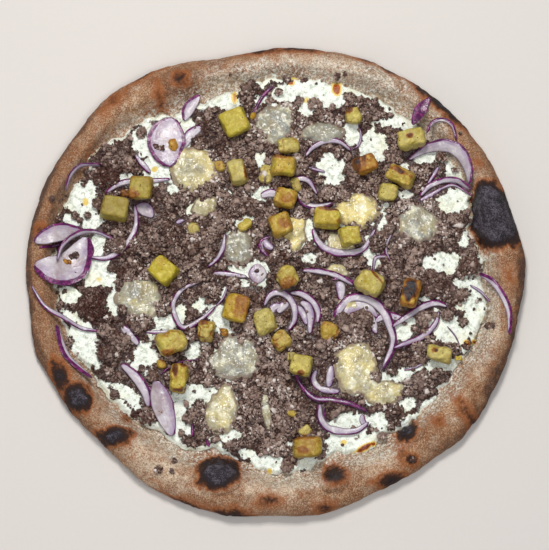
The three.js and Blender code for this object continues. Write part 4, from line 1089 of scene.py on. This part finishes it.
@functools.lru_cache(maxsize=1)
def mince_maps():
    """Square maps of how far the mince stands over the cheese and of its tone from 0 to 1.

    The mounds are half balls of three sizes, one to each cell of a shaken grid, where the ground is open and
    clear of onions. Their outlines are ragged, and the highest counts."""
    draw = np.random.default_rng(3)
    axis = np.arange(-MAP_REACH, MAP_REACH + MAP_STEP, MAP_STEP)
    points = flat(*np.meshgrid(axis, axis, indexing="ij"))
    ragged = 1 + 0.24 * noise(points, 3, 31) + 0.14 * noise(points, 1.4, 32)
    height, tone = np.zeros(ragged.shape), np.zeros(ragged.shape)
    for size, share in MOUNDS:
        x, y = shaken_grid(size, 0.5, draw)
        radius = size * draw.uniform(0.4, 0.62, x.size)
        away = onion_distance(x, y, (*ONIONS, *ONION_SCRAPS)) + draw.uniform(-1.5, 0.5, x.size)
        keep = (open_ground(x, y) > 0.45 * radius) & (away > 0.4 * radius)
        keep &= draw.uniform(size=x.size) < share
        for mx, my, reach, shade in zip(x[keep], y[keep], radius[keep], draw.uniform(size=keep.sum())):
            near = [slice(*np.searchsorted(axis, (at - 1.5 * reach, at + 1.5 * reach))) for at in (mx, my)]
            far = np.hypot(points[*near, 0] - mx, points[*near, 1] - my) * ragged[*near] / reach
            dome = (0.5 + 0.85 * reach) * np.sqrt(np.maximum(0, 1 - far**2))
            tone[*near] = np.where(dome > height[*near], shade, tone[*near])
            height[*near] = np.maximum(height[*near], dome)
    return height, tone


def read_map(values, x, y):
    """The value of a square map at each place: the four nearest cells weighted by their nearness."""
    u, v = (np.clip((at + MAP_REACH) / MAP_STEP, 0, len(values) - 1.01) for at in (x, y))
    i, j = u.astype(int), v.astype(int)
    s, t = u - i, v - j
    return ((values[i, j] * (1 - s) + values[i + 1, j] * s) * (1 - t)
            + (values[i, j + 1] * (1 - s) + values[i + 1, j + 1] * s) * t)


def off_dice(x, y, gap):
    """Where a place lies outside every die of potato made wider by a gap."""
    return np.all([oval(x, y, (mid_x, mid_y, width / 2 + gap, depth / 2 + gap, turn)) > 1
                   for mid_x, mid_y, width, depth, turn, *_ in POTATOES], axis=0)


def free_for_mince(x, y):
    """Where mince may lie: on open ground and off the dice."""
    return (open_ground(x, y) > 0) & off_dice(x, y, 0.5)


def mound_grains(draw):
    """Places and tones of the grains on the mounds: one to each cell of a shaken grid, few in hollows."""
    x, y = shaken_grid(GRAIN_SPACING, 0.6, draw)
    height, tone = (read_map(values, x, y) for values in mince_maps())
    keep = (height > 0.3) | (free_for_mince(x, y) & (draw.uniform(size=x.size) < 0.35))
    keep &= onion_distance(x, y, (*ONIONS, *ONION_SCRAPS)) > 0.4 - 0.6 * height
    keep &= off_dice(x, y, 0.4)
    x, y, height, tone = x[keep], y[keep], height[keep], tone[keep]
    places = np.stack([x, y, sheet_top(x, y) + height + draw.uniform(-0.1, 0.4, x.size)], -1)
    tone = MINCE_TONE + 0.5 * (tone - 0.5)
    # Painted shade and light: grains low on the mounds are darker, those on their tops lighter.
    return places, tone - 0.4 * smooth(height, 1.8, 0.2) + 0.15 * smooth(height, 1.5, 3.5)


def dome_grains(table, draw):
    """Places and tones of the grains of each lump of a table, on a golden spiral over a dome."""
    places, tones = [], []
    for x, y, radius, *over in table:
        count = round(3.2 * radius**2) + 3
        step = np.arange(count)
        reach = np.sqrt((step + 0.5) / count) * max(0.3, radius - 0.5) * draw.uniform(0.85, 1.12, count)
        spin = step * np.pi * (3 - 5**0.5) + draw.uniform(0, TURN)
        px, py = x + reach * np.cos(spin), y + reach * np.sin(spin)
        ground = np.maximum(crust_height(px, py), cheese_height(px, py)) + (over[0] if over else 0)
        rise = 0.75 * radius * np.sqrt(np.maximum(0, 1 - (reach / radius) ** 2))
        places.append(np.stack([px, py, ground + rise * draw.uniform(0.75, 1, count)], -1))
        # Painted shade darkens the grains towards a lump's edge; stray crumbs are darker in their own
        # colour.
        tones.append(MINCE_TONE + draw.normal(0, 0.08) - 0.15 * (reach / radius) ** 2 - 0.25 * len(over))
    return np.concatenate(places), np.concatenate(tones)


def dome_cores(table):
    """Middles and radii of the cores of a table's lumps."""
    x, y, radius = np.array([row[:3] for row in table], float).T
    over = np.array([row[3] if len(row) > 3 else 0 for row in table])
    ground = np.maximum(crust_height(x, y), cheese_height(x, y)) + over
    return np.stack([x, y, ground - 0.15 * radius], -1), 0.75 * radius


def cheesy(points, draw):
    """Extra tone for grains with cheese on them: some everywhere, many round the pools."""
    near = np.min([oval(points[:, 0], points[:, 1], pool) for pool in POOLS], axis=0)
    patch = smooth(noise(points * [1, 1, 0], 14, 26), 0.0, 0.8)
    share = 0.04 + 0.35 * smooth(near, 1.6, 1.0) + 0.18 * patch
    return np.where(draw.uniform(size=len(points)) < share, draw.uniform(0.3, 0.75, len(points)), 0)


def mince_marks(points, tones, draw):
    """The attributes of grains at these places: a tone spread about the given ones, and how red they are."""
    tone = tones + draw.normal(0, 0.17, len(points)) + cheesy(points, draw)
    tone -= 0.14 * smooth(points[:, 0] - 0.5 * points[:, 1], -40, -90)
    return {"tone": tone, "red": patches(points, REDDISH, 0.8)}


def loose_crumbs(draw):
    """Middles and radii of loose crumbs: many between the lumps, few on bare cheese, none on the dice."""
    x, y = draw.uniform(-CRUMB_REACH, CRUMB_REACH, (2, CRUMB_COUNT))
    keep = (np.hypot(x, y) < cheese_reach(np.arctan2(y, x)) - 2.5) & (onion_distance(x, y, ONIONS) > 0.8)
    keep &= off_dice(x, y, 1)
    for pool in POOLS:
        keep &= (oval(x, y, pool) > 1) | (draw.uniform(size=x.size) < 0.03)
    keep &= draw.uniform(size=x.size) < np.where(free_for_mince(x, y), 0.9, 0.05)
    x, y = x[keep], y[keep]
    radii = draw.uniform(0.4, 1.3, x.size)
    return np.stack([x, y, sheet_top(x, y) + 0.4 * radii], -1), radii


def build_mince():
    """The mince: small grains over the mounds and over the lumps' cores, and loose crumbs between them."""
    draw = np.random.default_rng(7)
    finish, shape = mince_finish(), ball()
    lumps = (*LUMPS, *((x, y, width / 2, over) for x, y, width, over in STRAY_CRUMBS))
    cores, radii = dome_cores(lumps)
    marks = mince_marks(cores, np.full(len(cores), MINCE_TONE - 0.2), draw)
    points, faces, marks = scattered(shape, cores, radii, 0.1, marks, draw)
    points[:, 2] = np.maximum(points[:, 2], sizes().floor_thickness / MM)
    make_mesh("mince_lumps", points, faces, marks, finish, "mince")
    parts = (mound_grains(draw), dome_grains(lumps, draw))
    grains, tones = (np.concatenate(values) for values in zip(*parts))
    marks = mince_marks(grains, tones, draw)
    size = sizes().grain / MM * np.exp(draw.normal(0, 0.36, len(grains)))
    for i, part in enumerate(np.array_split(draw.permutation(len(grains)), MINCE_PIECES)):
        own = {key: values[part] for key, values in marks.items()}
        copies = scattered(shape, grains[part], size[part], 0.45, own, draw)
        make_mesh(f"mince_grains_{i + 1}", *copies, finish, "mince", soft=i % 2 == 0)
    crumbs, size = loose_crumbs(draw)
    marks = mince_marks(crumbs, np.full(len(crumbs), MINCE_TONE - 0.1), draw)
    make_mesh("mince_crumbs", *scattered(shape, crumbs, size, 0.34, marks, draw), finish, "mince")


# Onion


def lane_heights(node, track, side, half):
    """Top of a packed strip along its left, middle and right, smoothed along the path."""
    heights = []
    for lane in (-LANE, 0, LANE):
        place = track + side * (half * lane)[:, None]
        top = node_top(node, place[:, 0], place[:, 1])
        known = ~np.isnan(top)
        steps = np.arange(len(top))
        top = np.interp(steps, steps[known], top[known])
        heights.append(np.convolve(np.pad(top, 3, mode="edge"), np.ones(7) / 7, mode="valid"))
    return np.array(heights)


def onion_part(onion, seed, node=None):
    """One strip of onion: a flat oval section carried along its path, cupped, its ends drawn in.

    The half width is width / 2 * (tip + (1 - tip) * a power of the sine), the thickness is full to near
    the ends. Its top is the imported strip's own, or lies on the cheese and crust where there is none."""
    width, skin_side, purple, *path = onion
    rows, steps = ONION_ROWS, 2 * round(min(max(1.6 * width, 10), 40))
    tip, power = (PETAL_TIP, PETAL_POINT) if width >= PETAL_WIDTH else (SHRED_TIP, SHRED_POINT)
    share = np.linspace(0, 1, rows)
    track = path_points(path, rows)
    tangent = np.gradient(track, axis=0)
    tangent /= np.linalg.norm(tangent, axis=1, keepdims=True)
    side = np.stack([-tangent[:, 1], tangent[:, 0]], -1)
    half = width / 2 * (tip + (1 - tip) * np.abs(np.sin(np.pi * share)) ** power)
    thickness = sizes().onion_thickness / MM
    if node:
        low, mid, high = lane_heights(node, track, side, half)
    else:
        ground = np.maximum(cheese_height(*track.T) + 0.5, crust_height(*track.T))
        low = mid = high = ground + 0.8
    angle = ring_angles(steps)
    lane = np.sign(np.cos(angle)) * np.abs(np.cos(angle)) ** 0.8
    rise = np.sin(angle)
    slope, cup = (high - low) / (2 * LANE), ((high + low) / 2 - mid) / LANE**2
    bend = mid[:, None] + slope[:, None] * lane + cup[:, None] * lane**2
    ends = np.clip(np.minimum(share, 1 - share) / 0.03, 0, 1)[:, None] ** 0.5
    ripple_at = np.stack([track[:, 0], track[:, 1], np.full(rows, seed)], -1)
    ripple = 0.35 * noise(ripple_at, 7, seed)[:, None]
    edge_wave = 1 + 0.1 * noise(ripple_at, 5, seed + 5)
    out = (half * (0.25 + 0.75 * ends[:, 0]) * edge_wave)[:, None] * lane
    x = track[:, :1] + side[:, :1] * out
    y = track[:, 1:] + side[:, 1:] * out
    body = thickness * (0.55 + 0.45 * np.sqrt(np.maximum(0, 1 - lane**2)))
    z = bend + ripple - thickness / 2 + body / 2 * rise * (0.4 + 0.6 * ends) + 0.1
    if width >= PETAL_WIDTH:
        z += 0.3 * noise(np.stack([x, y, np.full_like(x, seed)], -1), 9, seed + 2)
    rings = np.stack([x, y, z], -1)
    from_edge = half[:, None] * (1 - np.abs(lane))
    from_skin = half[:, None] * (1 - skin_side * lane) if skin_side else from_edge
    ragged = 0.5 * noise(rings, 4, seed + 3)
    tips = smooth(np.minimum(share, 1 - share), 0.06, 0.0)[:, None] * (from_skin < 2 * purple + 1)
    distance = np.concatenate([[0], np.cumsum(np.linalg.norm(np.diff(track, axis=0), axis=1))])
    masks = {
        "skin": np.clip(smooth(from_skin + ragged, purple + 0.5, purple - 0.5) + 0.5 * tips, 0, 1),
        "along": distance[:, None] + np.zeros(steps) + 40 * seed,
        "lane": out,
        # Painted shade along both edges and on the underside.
        "dark": np.clip(smooth(from_edge, 0.75, 0.2) + 0.5 * (rise < 0), 0, 1),
        "lilac": np.exp(-from_skin / (1.2 + 0.25 * width)) + np.zeros((rows, steps)),
        "clear": smooth(width, 5, 12) + np.zeros((rows, steps)),
    }
    masks = {key: values[:, ::-1] for key, values in masks.items()}
    first, last = ((*track[row], z[row].mean()) for row in (0, -1))
    return closed_part(rings[:, ::-1], first, last, masks)


def build_onions():
    """Each shred and petal of onion in place of its node, and the baked-in scraps as one piece."""
    finish = onion_finish()
    for i, onion in enumerate(ONIONS):
        node = f"onion_{i + 1:02d}"
        make_mesh(f"{node}_soft", *onion_part(onion, i + 1, node), finish, "onion", [node])
    scraps = [onion_part(scrap, 60 + i) for i, scrap in enumerate(ONION_SCRAPS)]
    make_mesh("onion_scraps", *joined(scraps), finish, "onion")


# Potato


def draws(seed, count):
    """Numbers from 0 to 1 of the generator that the part's source uses: state * 1664525 + 1013904223."""
    state, numbers = seed, []
    for _ in range(count):
        state = (state * 1664525 + 1013904223) % 4294967296
        numbers.append(state / 4294967296)
    return np.array(numbers)


def cube_rings():
    """Points of a cube's surface in square rings, from the middle of its top outwards, down and under."""
    side = np.linspace(-1, 1, 17)[:-1]
    one = np.ones_like(side)
    square = np.concatenate([
        np.stack(pair, -1) for pair in ((one, side), (-side, one), (-one, -side), (side, -one))])
    top, wall, under = np.linspace(0.08, 1, 12), np.linspace(1, -1, 13)[1:-1], np.linspace(1, 0.3, 4)
    reach = np.concatenate([top, np.ones(len(wall)), under])
    level = np.concatenate([np.ones(len(top)), wall, -np.ones(len(under))])
    across = square[None] * reach[:, None, None]
    return np.concatenate([across, np.broadcast_to(level[:, None, None], (*across.shape[:2], 1))], -1)


def potato_part(centre, half, turn, look, seed, lean=(0, 0)):
    """One die: a cube's points over the root of their powers' sum, leaning, lumpy, turned.

    The rougher it is, the lower the power and the larger the lumps. It browns on corners and in patches, and
    its creases are darkened with painted shade."""
    golden, browned, pale, rough = look
    aim = cube_rings()
    power = 8 - 5 * rough
    cube = aim / (np.abs(aim) ** power).sum(-1, keepdims=True) ** (1 / power)
    place = cube * half + np.array([seed * 17.3, seed * 9.1, seed * 5.7])
    lumps = (0.7 + rough) * noise(place, 8, seed) + (0.3 + 0.5 * rough) * noise(place, 3, seed + 1)
    lumps += (0.1 + 0.15 * rough) * noise(place, 1.4, seed + 2)
    crease = rough * (1 - np.abs(noise(place, 6, seed + 7))) ** 9
    lumps -= 0.9 * crease
    narrowing = 1 - 0.05 * (cube[..., 2:] + 1)
    local = cube * half * np.concatenate([narrowing, narrowing, np.ones_like(narrowing)], -1)
    local[..., :2] += np.array(lean) * cube[..., 2:] * half[:2]
    local += aim / np.linalg.norm(aim, axis=-1, keepdims=True) * lumps[..., None]
    x, y = turned(local[..., 0], local[..., 1], centre, turn)
    rings = np.stack([x, y, centre[2] + local[..., 2]], -1)
    corner = smooth(np.linalg.norm(aim, axis=-1), 1.2, 1.65)
    patchy = 0.5 + 0.5 * noise(place, 7, seed + 3) + 0.3 * noise(place, 2.5, seed + 4)
    low = 0.4 * smooth(cube[..., 2], 0.3, -0.8)
    roasted = patches(rings, ROASTED, 1.2, 0.5) * smooth(cube[..., 2], -0.6, 0.4) * (0.6 + 0.5 * patchy)
    # Painted shade darkens the creases; corners and patches are browned.
    edges = browned * (0.1 + 1.1 * patchy) + 0.4 * corner * (0.3 + browned) + low + 0.55 * crease - 0.12
    masks = {"golden": np.clip(golden + 0.35 * noise(place, 6, seed + 5), 0, 1),
             "browned": np.maximum(np.clip(edges, 0, 1), roasted),
             "pale": np.full(x.shape, float(pale))}
    return closed_part(rings, rings[0].mean(axis=0), rings[-1].mean(axis=0), masks)


def build_potatoes():
    """Each die of potato in place of its node, as tall as the node's box, and small scraps as one piece."""
    finish = potato_finish()
    leans = 0.22 * (draws(11, 2 * len(POTATOES)).reshape(-1, 2) - 0.5)
    for i, (x, y, width, depth, turn, *look) in enumerate(POTATOES):
        node = f"potato_{i + 1:02d}"
        low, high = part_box(node)
        centre = (x, y, (low.z + high.z) / 2 / MM)
        half = np.array([width / 2, depth / 2, (high.z - low.z) / 2 / MM])
        part = potato_part(centre, half, turn, look, i + 1, leans[i])
        make_mesh(f"{node}_roast", *part, finish, "potato", [node])
    scraps = []
    for i, (x, y, width, depth, height, turn, *look) in enumerate(POTATO_SCRAPS):
        level = float(cheese_height(np.float64(x), np.float64(y))) + height / 2
        scraps.append(potato_part((x, y, level), np.array([width, depth, height]) / 2, turn, look, 60 + i))
    make_mesh("potato_scraps", *joined(scraps), finish, "potato")


# Stage

PIXELS_ACROSS = 549
PIXELS_DOWN = 550
PIXEL_SIZE = 0.65  # millimetres of pizza to one pixel of the photograph
CAMERA_TARGET = (0, 2.6, 8)
CAMERA_DISTANCE = 3000
CAMERA_ELEVATION = 80
SENSOR = 36
FLOOR_REACH = 3000
SKY, SKY_STRENGTH = (0.9, 0.95, 1.0, 1), 0.22

# Soft lights, the key above and behind: name, place, width, watts and tint.
LIGHTS = (
    ("key", (-120, 560, 1200), 340, 12.8, (1.0, 0.98, 0.96)),
    ("overhead", (200, -350, 1300), 500, 5.2, (0.96, 0.98, 1.0)),
    ("fill", (-700, -900, 700), 900, 3.0, (0.96, 0.97, 1.0)),
)


def floor_finish():
    """A plain pale floor with a faint grain."""
    f = Finish("pale_floor", colours().floor)
    f.coat(srgb(190, 184, 178), f.noise(3, 3), 0.12)
    return f.done(0.8, 1.5)


def build_floor():
    """A square floor at the height that the crust rests on."""
    reach = FLOOR_REACH * MM
    mesh = bpy.data.meshes.new("floor")
    mesh.from_pydata([(-reach, -reach, 0), (reach, -reach, 0), (reach, reach, 0), (-reach, reach, 0)],
                     [], [(0, 1, 2, 3)])
    floor = bpy.data.objects.new("floor", mesh)
    mesh.materials.append(floor_finish())
    bpy.context.scene.collection.objects.link(floor)


def aim_at(thing, place, target):
    """Sets a light or camera at a place in millimetres and turns it to a target."""
    thing.location = [v * MM for v in place]
    away = np.array(target, float) - np.array(place, float)
    thing.rotation_euler = Vector(away).to_track_quat("-Z", "Y").to_euler()


def build_light(name, place, size, watts, tint):
    """A square area light turned to the middle of the pizza."""
    data = bpy.data.lights.new(name, "AREA")
    data.size, data.energy, data.color = size * MM, watts, tint
    light = bpy.data.objects.new(name, data)
    bpy.context.scene.collection.objects.link(light)
    aim_at(light, place, (0, 0, 0))


def build_stage():
    """Floor, lights, sky and the camera at the photograph's angle."""
    scene = bpy.context.scene
    build_floor()
    for light in LIGHTS:
        build_light(*light)
    scene.world = bpy.data.worlds.new("studio")
    scene.world.use_nodes = True
    background = scene.world.node_tree.nodes["Background"]
    background.inputs["Color"].default_value = SKY
    background.inputs["Strength"].default_value = SKY_STRENGTH
    scene.view_settings.view_transform = "Standard"
    data = bpy.data.cameras.new("camera")
    data.sensor_width = SENSOR
    data.lens = SENSOR * CAMERA_DISTANCE / (PIXEL_SIZE * max(PIXELS_ACROSS, PIXELS_DOWN))
    camera = bpy.data.objects.new("camera", data)
    scene.collection.objects.link(camera)
    tilt = math.radians(CAMERA_ELEVATION)
    x, y, z = CAMERA_TARGET
    place = (x, y - CAMERA_DISTANCE * math.cos(tilt), z + CAMERA_DISTANCE * math.sin(tilt))
    aim_at(camera, place, CAMERA_TARGET)
    scene.camera = camera


# Operators and panel


class PIZZA_OT_crust(bpy.types.Operator):
    """Build the crust"""

    bl_idname = "pizza.crust"
    bl_label = "Crust"

    def execute(self, context):
        build_crust()
        return {"FINISHED"}


class PIZZA_OT_cheese(bpy.types.Operator):
    """Build the white cheese and its pools"""

    bl_idname = "pizza.cheese"
    bl_label = "Cheese"

    def execute(self, context):
        build_cheese()
        build_pools()
        return {"FINISHED"}


class PIZZA_OT_mince(bpy.types.Operator):
    """Scatter the minced meat"""

    bl_idname = "pizza.mince"
    bl_label = "Mince"

    def execute(self, context):
        build_mince()
        return {"FINISHED"}


class PIZZA_OT_onions(bpy.types.Operator):
    """Lay the red onion"""

    bl_idname = "pizza.onions"
    bl_label = "Onions"

    def execute(self, context):
        build_onions()
        return {"FINISHED"}


class PIZZA_OT_potatoes(bpy.types.Operator):
    """Set the dice of potato"""

    bl_idname = "pizza.potatoes"
    bl_label = "Potatoes"

    def execute(self, context):
        build_potatoes()
        return {"FINISHED"}


class PIZZA_OT_stage(bpy.types.Operator):
    """Set up the floor, lights and camera"""

    bl_idname = "pizza.stage"
    bl_label = "Stage"

    def execute(self, context):
        build_stage()
        return {"FINISHED"}


OPERATORS = (PIZZA_OT_crust, PIZZA_OT_cheese, PIZZA_OT_mince, PIZZA_OT_onions, PIZZA_OT_potatoes,
             PIZZA_OT_stage)


class PIZZA_PT_panel(bpy.types.Panel):
    """The pizza's builders, sizes and colours"""

    bl_label = "Pizza"
    bl_idname = "PIZZA_PT_panel"
    bl_space_type = "VIEW_3D"
    bl_region_type = "UI"
    bl_category = "Pizza"

    def draw(self, context):
        for operator in OPERATORS:
            self.layout.operator(operator.bl_idname)
        for group in (context.scene.pizza_sizes, context.scene.pizza_colours):
            for key in group.__annotations__:
                self.layout.prop(group, key)


CLASSES = (PizzaSizes, PizzaColours, *OPERATORS, PIZZA_PT_panel)


def register():
    for kind in CLASSES:
        bpy.utils.register_class(kind)
    bpy.types.Scene.pizza_sizes = bpy.props.PointerProperty(type=PizzaSizes)
    bpy.types.Scene.pizza_colours = bpy.props.PointerProperty(type=PizzaColours)


def unregister():
    del bpy.types.Scene.pizza_colours
    del bpy.types.Scene.pizza_sizes
    for kind in reversed(CLASSES):
        bpy.utils.unregister_class(kind)


def main():
    register()
    bpy.ops.pizza.stage()
    bpy.ops.pizza.crust()
    bpy.ops.pizza.cheese()
    bpy.ops.pizza.mince()
    bpy.ops.pizza.onions()
    bpy.ops.pizza.potatoes()


if __name__ == "__main__":
    main()
